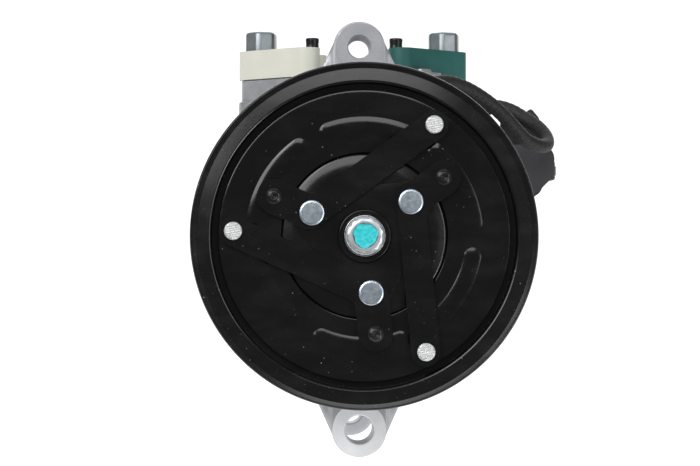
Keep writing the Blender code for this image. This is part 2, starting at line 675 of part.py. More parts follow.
def make_clutch_hub():
    """Hub, its nut, the three leaf springs with their stoppers, and the rivets that hold them."""
    corners = [polar(INNER_RIVET_CIRCLE, angle) for angle in TAB_ANGLES]
    plate_outlines = [circle((0, 0), 31.9, 40), circle((0, 0), 9.2, 16)]
    plate_outlines += [circle(place, 2.9, 8) for place in corners]
    hub = flat_plate("clutch_hub", plate_outlines, -60.4, -57.9, "black_paint")
    sleeve = turned("hub_sleeve", [(10, -63), (10, -59.4), (11.5, -58.6), (11.5, -54),
                                   (NECK_RADIUS + GAP, -54), (NECK_RADIUS + GAP, -63)], None, steps=20)
    join(hub, sleeve)
    nut = cylinders("clutch_nut", [along_shaft((0, 0), -65.2, -63.3, 7.35)], "bright_zinc", 20)
    hexagon = cylinders("nut_hexagon", [along_shaft((0, 0), -70, -64, 6.6)], None, 6)
    bore = cylinders("nut_bore", [along_shaft((0, 0), -72, -60, STUD_RADIUS + 0.4)], None, 12)
    join(nut, hexagon)
    cut(nut, bore)
    made = [bake(hub), bake(nut)]
    for number, (angle, place) in enumerate(zip(TAB_ANGLES, corners), 1):
        far = polar(OUTER_RIVET_CIRCLE, angle + STRAP_TURN)
        outlines = [leaf_outline(angle), circle(place, 3.0, 8), circle(far, 2.7, 8)]
        leaf = flat_plate("leaf_spring_%d" % number, outlines, LEAF_FRONT, LEAF_REAR, "black_paint")
        stopper = [along_shaft(polar(STOPPER_CIRCLE, angle), LEAF_FRONT - 1.1, LEAF_FRONT + 0.5, 3.2)]
        join(leaf, cylinders("stopper_%d" % number, stopper, None, 10))
        rivet = cylinders("hub_rivet_%d" % number, [along_shaft(place, -62.6, -57.1, 2.5)],
                          "bright_zinc", 8)
        ends = [along_shaft(place, -63.1, -62.2, 4.9), along_shaft(place, -57.6, -56.8, 4.0)]
        join(rivet, cylinders("hub_rivet_ends_%d" % number, ends, None, 12))
        made += [bake(leaf), bake(rivet)]
    return made


# --- Clutch lead and its connector --------------------------------------------------------------
LEAD_EXIT_ANGLE = 68.0        # where the lead leaves the coil, from +X towards +Z
LEAD_RADIUS = 3.0
LEAD_ROUTE = [                # (x, station, height above the shaft axis), chosen by hand
    (22.0, -23.0, 54.6), (23.3, -22.6, 57.8), (28.2, -18.9, 61.7), (35.2, -13.8, 63.3),
    (42.2, -9.6, 61.9), (48.9, -6.4, 59.2), (54.6, -3.8, 55.4), (59.6, -1.6, 50.8),
    (64.0, 0.6, 45.9), (69.2, 3.4, 40.9), (75.0, 7.6, 38.6), (79.0, 13.4, 39.4),
    (79.4, 20.0, 43.2), (76.4, 26.0, 47.8), (71.4, 30.2, 51.6), (65.6, 33.2, 55.2),
    (59.4, 35.6, 56.8), (53.4, 38.0, 54.6), (50.0, 40.0, 49.2), (50.0, 40.6, 43.2),
    (52.0, 38.6, 37.6), (54.6, 35.2, 33.8), (59.0, 32.8, 32.4)]


def smooth_route(points, count):
    """Points spread evenly along a smooth curve through the route's own points."""
    places = [Vector(point) for point in points]
    places = [places[0] * 2 - places[1]] + places + [places[-1] * 2 - places[-2]]
    dense = []
    for a, b, c, d in zip(places, places[1:], places[2:], places[3:]):
        for step in range(20):
            t = step / 20
            dense.append(0.5 * (2 * b + (c - a) * t + (2 * a - 5 * b + 4 * c - d) * t * t
                                + (3 * b - a - 3 * c + d) * t ** 3))
    dense.append(places[-2])
    lengths = [0.0]
    for a, b in zip(dense, dense[1:]):
        lengths.append(lengths[-1] + (b - a).length)
    spread, index = [], 0
    for step in range(count):
        wanted = lengths[-1] * step / (count - 1)
        while index < len(lengths) - 2 and lengths[index + 1] < wanted:
            index += 1
        part = (wanted - lengths[index]) / (lengths[index + 1] - lengths[index])
        spread.append(dense[index].lerp(dense[index + 1], part))
    return spread


def make_lead():
    """The coil's sleeved lead, from the coil's boss to the connector."""
    curve = bpy.data.curves.new("clutch_lead", "CURVE")
    curve.dimensions = "3D"
    curve.bevel_depth = LEAD_RADIUS * MM
    curve.bevel_resolution = 2
    curve.use_fill_caps = True
    spline = curve.splines.new("POLY")
    route = smooth_route(LEAD_ROUTE, 32)
    spline.points.add(len(route) - 1)
    for point, place in zip(spline.points, route):
        point.co = (place.x * MM, place.y * MM, (place.z + LUG_REACH) * MM, 1)
    return bake(new_object("clutch_lead", curve, "rubber"))


def make_connector():
    """The lead's connector, the bent bracket that holds it by its nose, and the bracket's bolt."""
    middle = (72.4, 29.0)
    corners = [(67.2, 24.0, 6.0), (67.2, 34.0, 6.0), (77.6, 34.0, 6.0), (77.4, 29.5, 6.2), (72.8, 25.0, 6.3)]
    housing = flat_plate("connector_housing", [hull(corners)], 24, BRACKET_STATION - GAP, "black_plastic")
    x, z = middle[0], LUG_REACH + middle[1]
    nose = block("connector_nose", (x - 7, 40, z - 6), (x + 7, 50, z + 6), None)
    socket = block("connector_socket", (x - 5.2, 37, z - 4.2), (x + 5.2, 52, z + 4.2), None)
    before, end = [Vector(point) + Vector((0, 0, LUG_REACH)) for point in LEAD_ROUTE[-2:]]
    onward = (end - before).normalized()
    entry = cylinders("connector_entry", [(end + onward * 0.6, end + onward * 8, 3.6)], None, 12)
    join(housing, nose, entry)
    cut(housing, socket)
    edge = [(62.3, 5), (70, 5), (75.5, 17.5), (79.4, 20.2), (81.9, 25.5), (82, 38),
            (79.3, 46), (79.3, 52.3), (75.6, 56.7), (72.7, 54.5), (68, 53.5), (62.3, 56)]
    window = [(x - 7.5, middle[1] - 6.5), (x + 7.5, middle[1] - 6.5), (x + 7.5, middle[1] + 6.5),
              (x - 7.5, middle[1] + 6.5)]
    arm = flat_plate("connector_bracket", [edge, window], BRACKET_STATION, BRACKET_STATION + 1.5,
                     "black_paint")
    foot = block("bracket_foot", (62.6, BRACKET_STATION + 0.4, LUG_REACH + 5.3),
                 (64.1, 58, LUG_REACH + 18.7), None)
    hole = cylinders("bracket_hole", [((60, *BRACKET_BOLT), (66, *BRACKET_BOLT), 2.8)], None, 12)
    join(arm, foot)
    cut(arm, hole)
    bolt = cylinders("bracket_bolt", [((54, *BRACKET_BOLT), (66, *BRACKET_BOLT), 2.5)], "bright_zinc", 12)
    head = cylinders("bracket_bolt_head", [((64.4, *BRACKET_BOLT), (68, *BRACKET_BOLT), 4.6)], None, 6)
    join(bolt, head)
    return [bake(housing), bake(arm), bake(bolt)]


# --- Bodies that move ---------------------------------------------------------------------------
def carry(name, centre, pieces, parent=None):
    """An empty on a joint's axis that carries the pieces of one moving body."""
    pivot = bpy.data.objects.new(name, None)
    PARTS.objects.link(pivot)
    pivot.empty_display_size = 0.01
    pivot.matrix_world = Matrix.Translation(Vector(centre) * MM)
    bpy.context.view_layer.update()
    for piece in pieces:
        piece.parent = pivot
        piece.matrix_parent_inverse = pivot.matrix_world.inverted()
    if parent is not None:
        pivot.parent = parent
        pivot.matrix_parent_inverse = parent.matrix_world.inverted()
    return pivot


def shoe_pivot(angle):
    """The centre that a front shoe circles about on the wear ring."""
    across = (CYLINDER_CIRCLE / math.cos(TILT) + CYLINDER_CIRCLE) / 2
    x = across * math.sin(math.radians(angle))
    slope = across * math.cos(math.radians(angle))
    return (x, SWASH_STATION + slope * math.sin(TILT), LUG_REACH + slope * math.cos(TILT))


def main():
    """Make every piece and hang the moving ones on their axes."""
    global PARTS, CUTTERS
    clear_scene()
    PARTS = new_collection("swash_plate_compressor")
    CUTTERS = new_collection("cutters")
    make_front_head()
    make_rear_head()
    make_blocks()
    make_plates("front", FRONT_VALVE, FRONT_REED, HUB_BORE)
    make_plates("rear", REAR_VALVE, REAR_REED, 13)
    make_through_bolts()
    make_manifold()
    make_cap("suction_cap", -1, "ivory_plastic")
    make_cap("discharge_cap", 1, "green_plastic")
    make_lead()
    make_connector()

    shaft, _, _, _, front_thrust, rear_thrust = make_shaft_group()
    hub, wear = make_swash()
    turning, _ = make_pulley()
    shaft_pieces = [shaft, front_thrust, rear_thrust, hub] + make_clutch_hub()
    shaft_pivot = carry("shaft_axis", (0, 0, LUG_REACH), shaft_pieces)
    carry("pulley_axis", (0, 0, LUG_REACH), turning)
    carry("armature_axis", (0, ARMATURE_FRONT, LUG_REACH), make_armature(), shaft_pivot)
    ring_pivot = carry("swash_ring_axis", SWASH_CENTRE, [wear], shaft_pivot)
    for number, angle in enumerate(CYLINDER_ANGLES, 1):
        piston, front, rear = make_piston(number, angle)
        front_pivot = carry("front_shoe_axis_%d" % number, shoe_pivot(angle), [front], ring_pivot)
        rear_pivot = carry("rear_shoe_axis_%d" % number, ball_centre(angle), [rear], front_pivot)
        carry("piston_axis_%d" % number, ball_centre(angle), [piston], rear_pivot)


main()
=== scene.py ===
"""Looks of a belt-driven swash-plate compressor with an electromagnetic clutch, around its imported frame.

Lengths are in millimetres. A place is (x, height above the shaft axis) and a station is along the shaft,
from the clutch (negative) to the rear head (positive).
"""

import json
import math

import bmesh
import bpy
from mathutils import Matrix, Vector


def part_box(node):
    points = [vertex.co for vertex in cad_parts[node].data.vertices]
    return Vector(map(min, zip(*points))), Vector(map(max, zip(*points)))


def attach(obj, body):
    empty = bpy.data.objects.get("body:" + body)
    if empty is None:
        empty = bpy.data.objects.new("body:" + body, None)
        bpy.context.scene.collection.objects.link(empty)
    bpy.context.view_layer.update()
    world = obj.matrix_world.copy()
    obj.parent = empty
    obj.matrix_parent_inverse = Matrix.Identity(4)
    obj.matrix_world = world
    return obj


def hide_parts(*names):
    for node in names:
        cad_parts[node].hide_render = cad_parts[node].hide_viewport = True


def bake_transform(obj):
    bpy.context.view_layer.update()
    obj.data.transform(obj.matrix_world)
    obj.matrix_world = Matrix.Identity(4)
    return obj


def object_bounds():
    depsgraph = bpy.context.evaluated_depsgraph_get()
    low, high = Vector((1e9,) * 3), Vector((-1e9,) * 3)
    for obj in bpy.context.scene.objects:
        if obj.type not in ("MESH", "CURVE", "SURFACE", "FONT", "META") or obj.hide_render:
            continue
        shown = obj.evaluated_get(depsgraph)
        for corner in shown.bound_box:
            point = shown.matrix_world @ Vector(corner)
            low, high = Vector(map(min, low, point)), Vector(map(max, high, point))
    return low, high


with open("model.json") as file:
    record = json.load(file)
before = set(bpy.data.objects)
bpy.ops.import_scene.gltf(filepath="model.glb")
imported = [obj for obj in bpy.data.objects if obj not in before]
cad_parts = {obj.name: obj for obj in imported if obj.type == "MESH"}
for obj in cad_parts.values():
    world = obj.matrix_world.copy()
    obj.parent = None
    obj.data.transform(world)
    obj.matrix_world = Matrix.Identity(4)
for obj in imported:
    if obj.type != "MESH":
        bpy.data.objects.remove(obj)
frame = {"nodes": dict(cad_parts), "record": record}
CAD_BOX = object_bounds()

MM = 0.001


def box_mm(node):
    """Lowest and highest corner of a CAD node, in millimetres, heights from the shaft axis."""
    low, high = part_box(node)
    return [(v.x / MM, v.y / MM, v.z / MM - AXIS) for v in (low, high)]


def stations(node):
    """First and last station of a CAD node."""
    return [v[1] for v in box_mm(node)]


AXIS = sum(v.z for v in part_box("pulley")) / 2 / MM       # shaft axis above the lower lug bolt
PULLEY_RADIUS = box_mm("pulley")[1][0]
PULLEY_FRONT, PULLEY_REAR = stations("pulley")
ARMATURE_RADIUS = box_mm("armature_plate")[1][0]
ARMATURE_FRONT, ARMATURE_REAR = stations("armature_plate")
ARMATURE_HOLE = 32.3
LEAF_REAR = stations("leaf_spring_1")[1]
LEAF_FRONT = LEAF_REAR - 1.0
HUB_FACE = LEAF_REAR + 0.5
NUT_FRONT = stations("clutch_nut")[0]
BODY_RADIUS = box_mm("rear_cylinder_block")[1][0]
HEAD_REAR = stations("front_head")[1]
REAR_HEAD, REAR_END = stations("rear_head")
LUG_REACH = AXIS
UPPER_LUG, LOWER_LUG = 10.7, 11.4                        # radii of the lugs' round ends
UPPER_BORE, LOWER_BORE = 4.55, 5.85
REAR_LUG_DEPTH = 20
DECK = box_mm("port_manifold")[1][2]
CAP_BOTTOM, CAP_TOP = DECK + 0.3, box_mm("suction_cap")[1][2]
INNER_RIVET_CIRCLE = 22.2
STOPPER_CIRCLE = 38.2
OUTER_RIVET_CIRCLE = 50.8
TAB_ANGLES = [36.5, 156.5, 276.5]                        # from +X towards +Z
STRAP_TURN = -98.6
CYLINDER_CIRCLE, BORE_RADIUS = 34.0, 18.0
CYLINDER_ANGLES = [0, 120, 240]                          # from +Z towards +X
BOLT_ANGLES = [30 + 60 * turn for turn in range(6)]
BOLT_CIRCLE = 52.0


# --- Mesh helpers ---------------------------------------------------------------------------------
def along_shaft(x=0, height=0):
    """Local z along the shaft, local x and y across it, at a place."""
    return Matrix(((1, 0, 0, x), (0, 0, 1, 0), (0, 1, 0, height), (0, 0, 0, 1)))


def upright(x=0, station=0):
    """Local z pointing up."""
    return Matrix(((1, 0, 0, x), (0, 1, 0, station), (0, 0, 1, 0), (0, 0, 0, 1)))


def to_world(bm, matrix=None):
    """From millimetres about the shaft axis to the frame's metres."""
    if matrix:
        bm.transform(matrix)
    bm.transform(Matrix.Scale(MM, 4) @ Matrix.Translation((0, 0, AXIS)))
    bmesh.ops.remove_doubles(bm, verts=bm.verts, dist=1e-7)
    bmesh.ops.recalc_face_normals(bm, faces=bm.faces)
    return bm


def value(item, turn):
    """A ring's number at an angle, where it may be a function of the angle."""
    return item(turn) if callable(item) else item


def lathe(rings, matrix, steps=96):
    """A turned solid from (radius, station) pairs; either may be a function of the angle."""
    bm = bmesh.new()
    made = []
    for radius, station in rings:
        ring = []
        for step in range(steps):
            turn = 2 * math.pi * step / steps
            r = value(radius, turn)
            ring.append(bm.verts.new((r * math.cos(turn), r * math.sin(turn), value(station, turn))))
        made.append(ring)
    for a, b in zip(made, made[1:] + made[:1]):
        for step in range(steps):
            after = (step + 1) % steps
            bm.faces.new((a[step], a[after], b[after], b[step]))
    bmesh.ops.remove_doubles(bm, verts=bm.verts, dist=1e-5)
    return to_world(bm, matrix)


def rounded(points, count=4):
    """Turns (radius, station, fillet) corners of a closed outline into arcs."""
    made = []
    for index, corner in enumerate(points):
        here = Vector(corner[:2])
        fillet = corner[2] if len(corner) > 2 else 0
        if not fillet:
            made.append(tuple(here))
            continue
        before, after = Vector(points[index - 1][:2]), Vector(points[(index + 1) % len(points)][:2])
        reach_in = min(fillet, (before - here).length * 0.48)
        reach_out = min(fillet, (after - here).length * 0.48)
        start = here + (before - here).normalized() * reach_in
        end = here + (after - here).normalized() * reach_out
        for step in range(count + 1):
            t = step / count
            made.append(tuple(start * (1 - t) ** 2 + here * 2 * t * (1 - t) + end * t * t))
    return made


def polar(radius, degrees):
    """A place on a circle, its angle from +X towards +Z."""
    angle = math.radians(degrees)
    return (radius * math.cos(angle), radius * math.sin(angle))


def around_top(radius, degrees):
    """A place on a circle, its angle from +Z towards +X."""
    return polar(radius, 90 - degrees)


def arc(centre, radius, start, end, count):
    """Places along an arc, both ends included."""
    return [tuple(Vector(centre) + Vector(polar(radius, start + (end - start) * step / count)))
            for step in range(count + 1)]


def circle(centre, radius, count=48):
    """A closed circle's places."""
    return arc(centre, radius, 0, 360, count)[:-1]


def hull(circles, count=64):
    """The outline of a band stretched round circles given as (x, y, radius)."""
    cloud = sorted({(round(x, 5), round(y, 5))
                    for cx, cy, r in circles for x, y in circle((cx, cy), r, count)})

    def half(points):
        chain = []
        for point in points:
            while len(chain) > 1:
                (ax, ay), (bx, by) = chain[-2], chain[-1]
                if (bx - ax) * (point[1] - ay) - (by - ay) * (point[0] - ax) > 1e-9:
                    break
                chain.pop()
            chain.append(point)
        return chain[:-1]

    return half(cloud) + half(cloud[::-1])


def spaced(points, longest):
    """The same outline with its long straight edges divided."""
    made = []
    for a, b in zip(points, points[1:] + points[:1]):
        parts = max(1, math.ceil((Vector(b) - Vector(a)).length / longest))
        made += [tuple(Vector(a).lerp(Vector(b), part / parts)) for part in range(parts)]
    return made


def prism(outlines, start, end, matrix=None, bevel=0.0, segments=3):
    """A plate with rounded edges from flat outlines; those after the first are its holes."""
    bm = bmesh.new()
    for outline in outlines:
        verts = [bm.verts.new((x, y, start)) for x, y in outline]
        for a, b in zip(verts, verts[1:] + verts[:1]):
            bm.edges.new((a, b))
    bmesh.ops.triangle_fill(bm, edges=bm.edges[:], use_beauty=True, use_dissolve=False)
    grown = bmesh.ops.extrude_face_region(bm, geom=bm.faces[:])
    bmesh.ops.translate(bm, verts=[g for g in grown["geom"] if isinstance(g, bmesh.types.BMVert)],
                        vec=(0, 0, end - start))
    bmesh.ops.recalc_face_normals(bm, faces=bm.faces)
    if bevel:
        rim = [e for e in bm.edges if len(e.link_faces) == 2 and e.calc_face_angle() > math.radians(60)
               and abs(e.verts[0].co.z - e.verts[1].co.z) < 1e-6]
        bmesh.ops.bevel(bm, geom=rim, offset=bevel, segments=segments, profile=0.5, affect="EDGES",
                        clamp_overlap=True)
    return to_world(bm, matrix or along_shaft())


def block(low, high, bevel=0.0, turn=0.0):
    """A box with rounded edges between two corners, turned about the shaft axis."""
    bm = bmesh.new()
    bmesh.ops.create_cube(bm, size=1)
    size = Vector(high) - Vector(low)
    middle = (Vector(high) + Vector(low)) / 2
    bm.transform(Matrix.Translation(middle) @ Matrix.Diagonal((*size, 1)))
    if bevel:
        bmesh.ops.bevel(bm, geom=bm.edges[:], offset=bevel, segments=3, profile=0.5, affect="EDGES")
    bm.transform(Matrix.Rotation(turn, 4, "Y"))
    return to_world(bm)


def merged(*parts):
    """Several shapes in one mesh."""
    bm = bmesh.new()
    for part in parts:
        mesh = bpy.data.meshes.new("part")
        part.to_mesh(mesh)
        part.free()
        bm.from_mesh(mesh)
        bpy.data.meshes.remove(mesh)
    return bm


def as_object(name, bm):
    """An object in the scene from a bmesh."""
    mesh = bpy.data.meshes.new(name)
    bm.to_mesh(mesh)
    bm.free()
    made = bpy.data.objects.new(name, mesh)
    bpy.context.scene.collection.objects.link(made)
    return made


def apply_modifiers(made):
    """Keeps an object's evaluated mesh and clears its modifiers."""
    bpy.context.view_layer.update()
    evaluated = made.evaluated_get(bpy.context.evaluated_depsgraph_get())
    mesh = bpy.data.meshes.new_from_object(evaluated)
    made.modifiers.clear()
    made.data = mesh
    return made


def as_bmesh(body):
    """An object's mesh as a bmesh, with the object removed."""
    made = bmesh.new()
    made.from_mesh(body.data)
    bpy.data.objects.remove(body)
    return made


def carved(bm, cutters):
    """A shape with other shapes cut out of it, one at a time."""
    body = as_object("carved", bm)
    for cutter in cutters:
        tool = as_object("cutter", cutter)
        cut = body.modifiers.new("cut", "BOOLEAN")
        cut.operation, cut.object, cut.solver = "DIFFERENCE", tool, "EXACT"
        apply_modifiers(body)
        bpy.data.objects.remove(tool)
    return as_bmesh(body)


def cast(bm, voxel=0.9, passes=4):
    """Fuses overlapping shapes into one skin with the soft edges of a casting."""
    body = as_object("casting", bm)
    remesh = body.modifiers.new("fuse", "REMESH")
    remesh.mode, remesh.voxel_size = "VOXEL", voxel * MM
    soften = body.modifiers.new("soften", "SMOOTH")
    soften.factor, soften.iterations = 0.5, passes
    return as_bmesh(apply_modifiers(body))


def piece(name, bm, material, body, stands_for=(), sharp=32):
    """A finished piece of the object, riding on a body and standing for CAD nodes."""
    made = as_object(name, bm)
    made.data.materials.append(material)
    made.data.shade_smooth()
    made.data.set_sharp_from_angle(angle=math.radians(sharp))
    if body:
        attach(made, body)
    if stands_for:
        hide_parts(*stands_for)
    return made


# --- Materials --------------------------------------------------------------------------------------
class Finish:
    """A Principled material whose colour, roughness and bump come from node textures."""

    def __init__(self, name, roughness=0.5, metallic=0.0, **settings):
        self.material = bpy.data.materials.new(name)
        self.material.use_nodes = True
        self.nodes = self.material.node_tree.nodes
        self.links = self.material.node_tree.links
        self.shader = self.nodes["Principled BSDF"]
        self.shader.inputs["Roughness"].default_value = roughness
        self.shader.inputs["Metallic"].default_value = metallic
        for socket, number in settings.items():
            self.shader.inputs[socket.replace("_", " ")].default_value = number
        self.place = self.nodes.new("ShaderNodeTexCoord").outputs["Object"]
        self.height = None

    def noise(self, scale, detail=4.0, stretch=(1, 1, 1), rough=0.55):
        """Noise with about `scale` features a metre; stretch scales its axes."""
        mapping = self.nodes.new("ShaderNodeMapping")
        mapping.inputs["Scale"].default_value = stretch
        texture = self.nodes.new("ShaderNodeTexNoise")
        texture.inputs["Scale"].default_value = scale
        texture.inputs["Detail"].default_value = detail
        texture.inputs["Roughness"].default_value = rough
        self.links.new(self.place, mapping.inputs["Vector"])
        self.links.new(mapping.outputs["Vector"], texture.inputs["Vector"])
        return texture.outputs["Fac"]

    def cells(self, scale):
        """Distance to the nearest of scattered points."""
        texture = self.nodes.new("ShaderNodeTexVoronoi")
        texture.inputs["Scale"].default_value = scale
        self.links.new(self.place, texture.inputs["Vector"])
        return texture.outputs["Distance"]

    def spread(self, source, low, high, out_low=0.0, out_high=1.0):
        """Maps a texture's range from low to high onto another range, clamped."""
        node = self.nodes.new("ShaderNodeMapRange")
        for socket, number in zip(("From Min", "From Max", "To Min", "To Max"),
                                  (low, high, out_low, out_high)):
            node.inputs[socket].default_value = number
        self.links.new(source, node.inputs["Value"])
        return node.outputs["Result"]

    def product(self, a, b):
        """Two masks multiplied."""
        node = self.nodes.new("ShaderNodeMath")
        node.operation = "MULTIPLY"
        self.links.new(a, node.inputs[0])
        self.links.new(b, node.inputs[1])
        return node.outputs["Value"]

    def blend(self, mask, first, second):
        """A colour between two, which are colours or other nodes' outputs."""
        node = self.nodes.new("ShaderNodeMix")
        node.data_type = "RGBA"
        self.links.new(mask, node.inputs["Factor"])
        for socket, item in ((6, first), (7, second)):
            if isinstance(item, tuple):
                node.inputs[socket].default_value = (*item, 1)
            else:
                self.links.new(item, node.inputs[socket])
        return node.outputs[2]

    def colour(self, source):
        """Connects the base colour."""
        self.links.new(source, self.shader.inputs["Base Color"])

    def roughness(self, source):
        """Connects the roughness."""
        self.links.new(source, self.shader.inputs["Roughness"])

    def bump(self, source, strength, depth=0.05):
        """Adds relief; depth is in millimetres."""
        node = self.nodes.new("ShaderNodeBump")
        node.inputs["Strength"].default_value = strength
        node.inputs["Distance"].default_value = depth * MM
        self.links.new(source, node.inputs["Height"])
        if self.height:
            self.links.new(self.height, node.inputs["Normal"])
        self.height = node.outputs["Normal"]
        self.links.new(self.height, self.shader.inputs["Normal"])
        return self


def black_enamel(name, base, roughness, dust=1.0):
    """Black electrocoat with a little orange peel, dust specks and faint smears."""
    made = Finish(name, roughness, Specular_IOR_Level=0.5)
    specks = made.spread(made.cells(300), 0.06, 0.1, 1, 0)
    gate = made.spread(made.noise(75, 2), 0.52, 0.6)
    fine = made.spread(made.noise(900, 3), 0.69, 0.76)
    smear = made.spread(made.noise(60, 5, (1, 1, 2.2)), 0.45, 0.8)
    plain = made.blend(smear, base, tuple(c * 1.9 + 0.001 for c in base))
    dusty = made.blend(made.product(specks, gate), plain, (0.16 * dust, 0.155 * dust, 0.15 * dust))
    made.colour(made.blend(fine, dusty, (0.05 * dust, 0.05 * dust, 0.05 * dust)))
    made.roughness(made.spread(smear, 0, 1, roughness, roughness + 0.07))
    return made.bump(made.noise(420, 3), 0.2, 0.025).material


def cast_metal(name, dark, light, roughness, grain=0.5):
    """Shot-blasted aluminium casting."""
    made = Finish(name, roughness, 0.75)
    patches = made.spread(made.noise(70, 6), 0.3, 0.7)
    grit = made.spread(made.noise(2600, 2), 0.35, 0.65)
    made.colour(made.blend(made.product(patches, grit), dark, light))
    made.roughness(made.spread(patches, 0, 1, roughness - 0.08, roughness + 0.1))
    made.bump(made.noise(2200, 3), grain, 0.12)
    return made.bump(made.noise(260, 3), 0.3, 0.2).material


def bare_metal(name, dark, light, roughness, stretch=(1, 1, 1), scale=300, metallic=1.0):
    """Machined or plated metal with fine streaks and clouding."""
    made = Finish(name, roughness, metallic)
    cloud = made.spread(made.noise(scale, 6), 0.32, 0.68)
    streak = made.noise(1500, 2, stretch)
    made.colour(made.blend(cloud, dark, light))
    made.roughness(made.spread(streak, 0.3, 0.7, roughness * 0.85, roughness * 1.25))
    return made.bump(streak, 0.06, 0.02).material


def moulded(name, dark, light, roughness, grain=900, strength=0.3):
    """Moulded plastic or rubber with soft mottling and fine grain."""
    made = Finish(name, roughness, Specular_IOR_Level=0.4)
    cloud = made.spread(made.noise(55, 5), 0.3, 0.7)
    made.colour(made.blend(cloud, dark, light))
    made.roughness(made.spread(made.noise(300, 4), 0.3, 0.7, roughness - 0.05, roughness + 0.08))
    return made.bump(made.noise(grain, 3), strength, 0.05).material


def woven_sleeve():
    """Black braided sleeve: two shades of yarn."""
    made = Finish("woven_sleeve", 0.55, Specular_IOR_Level=0.35)
    yarn = made.spread(made.noise(1900, 2), 0.40, 0.72)
    made.colour(made.blend(yarn, (0.005, 0.005, 0.006), (0.030, 0.030, 0.032)))
    return made.bump(made.noise(3000, 2), 0.4, 0.06).material


def marker_paint():
    """Turquoise marker paint, brushed on thinly."""
    made = Finish("marker_paint", 0.38, Coat_Weight=0.3)
    thin = made.spread(made.noise(700, 4), 0.4, 0.7)
    made.colour(made.blend(thin, (0.012, 0.58, 0.62), (0.12, 0.78, 0.82)))
    return made.bump(made.noise(900, 3), 0.5, 0.08).material


def make_materials():
    """Every finish by name."""
    return {
        "enamel": black_enamel("black_enamel", (0.0048, 0.0048, 0.0054), 0.13),
        "leaf": black_enamel("leaf_enamel", (0.0047, 0.0047, 0.0051), 0.18, 0.8),
        "rim": black_enamel("rim_enamel", (0.0052, 0.0052, 0.0058), 0.2, 1.1),
        "coil": black_enamel("coil_enamel", (0.008, 0.008, 0.009), 0.4, 0.7),
        "bracket": black_enamel("bracket_enamel", (0.010, 0.010, 0.011), 0.4, 0.6),
        "casting": cast_metal("cast_aluminium", (0.40, 0.41, 0.43), (0.60, 0.61, 0.64), 0.46),
        "machined": bare_metal("machined_aluminium", (0.62, 0.63, 0.64), (0.78, 0.79, 0.80), 0.3, (1, 5, 1)),
        "zinc": bare_metal("zinc_plate", (0.26, 0.29, 0.31), (0.37, 0.40, 0.42), 0.42, (4, 4, 1), 160),
        "nut": bare_metal("nut_zinc", (0.66, 0.70, 0.73), (0.80, 0.84, 0.87), 0.30, (4, 4, 4), 150, 0.6),
        "lug": bare_metal("milled_lug", (0.80, 0.81, 0.82), (0.92, 0.93, 0.95), 0.35, (1, 5, 1), 90, 0.3),
        "rivet_top": bare_metal("rivet_zinc", (0.46, 0.55, 0.63), (0.76, 0.84, 0.92), 0.36, (1, 1, 6), 520),
        "pale_rivet": bare_metal("pale_rivet", (0.50, 0.51, 0.51), (0.80, 0.81, 0.81), 0.42, (1, 1, 1), 900,
                                 0.55),
        "steel": bare_metal("machined_steel", (0.42, 0.43, 0.45), (0.60, 0.61, 0.63), 0.26, (1, 7, 1)),
        "bronze": bare_metal("bearing_bronze", (0.38, 0.26, 0.11), (0.55, 0.40, 0.19), 0.33, (5, 1, 5)),
        "ivory": moulded("ivory_plastic", (0.64, 0.64, 0.56), (0.71, 0.71, 0.62), 0.5, 500, 0.12),
        "green": moulded("green_plastic", (0.010, 0.082, 0.074), (0.020, 0.120, 0.108), 0.55, 500, 0.12),
        "plastic": moulded("black_plastic", (0.042, 0.042, 0.046), (0.068, 0.068, 0.073), 0.40),
        "rubber": moulded("black_rubber", (0.006, 0.006, 0.006), (0.014, 0.014, 0.014), 0.24, 1400, 0.1),
        "sleeve": woven_sleeve(),
        "paint": marker_paint(),
    }


# --- Clutch -----------------------------------------------------------------------------------------
def make_pulley(look):
    """Rotor with its six-rib belt track and the shallow groove in its front band, and the bearing."""
    front, rear, outer = PULLEY_FRONT, PULLEY_REAR, PULLEY_RADIUS
    root, friction_face = outer - 3.6, -55.4
    outline = rounded([(54.5, rear, 0.6), (outer - 1.2, rear, 0.6), (outer, rear - 1.0, 0.4),
                       (outer, rear - 2.8, 0.4)])
    rib_pitch, ribs, first = 3.56, 6, rear - 3.2
    for rib in range(ribs):
        crest = first - rib * rib_pitch
        outline += [(root, crest - 0.35), (root, crest - 0.65), (outer - 0.75, crest - 1.75),
                    (outer - 0.55, crest - 2.1), (outer - 0.75, crest - 2.45)]
    outline += [(root, first - ribs * rib_pitch - 0.35)]
    outline += rounded([(root, front + 3.4), (outer, front + 2.2, 0.4), (outer, front + 0.7, 0.5),
                        (outer - 0.6, front + 0.05, 0.3), (65.0, front + 0.75, 0.25),
                        (60.1, front - 0.4, 0.2), (59.4, front, 0.3), (59.4, friction_face, 0.4),
                        (25.5, friction_face, 0.4), (25.5, -52, 0.2), (27.8, -52, 0.2), (27.8, -31, 0.4),
                        (31.5, -31, 0.4), (31.5, -50.5, 1), (54.5, -50.5, 1)])[1:]
    piece("pulley_rotor", lathe(outline, along_shaft(), 240), look["rim"], "pulley",
          ["pulley"])
    start, end = -51, -31.3
    for node, inner, outside, body in (("pulley_bearing_outer", 23.8, 27.5, "pulley"),
                                       ("pulley_bearing_inner", 17.8, 21.2, "housing")):
        section = rounded([(inner, start, 0.5), (outside, start, 0.6), (outside, end, 0.6),
                           (inner, end, 0.5)])
        piece(node + "_ring", lathe(section, along_shaft(), 120), look["steel"], body,
              [node])


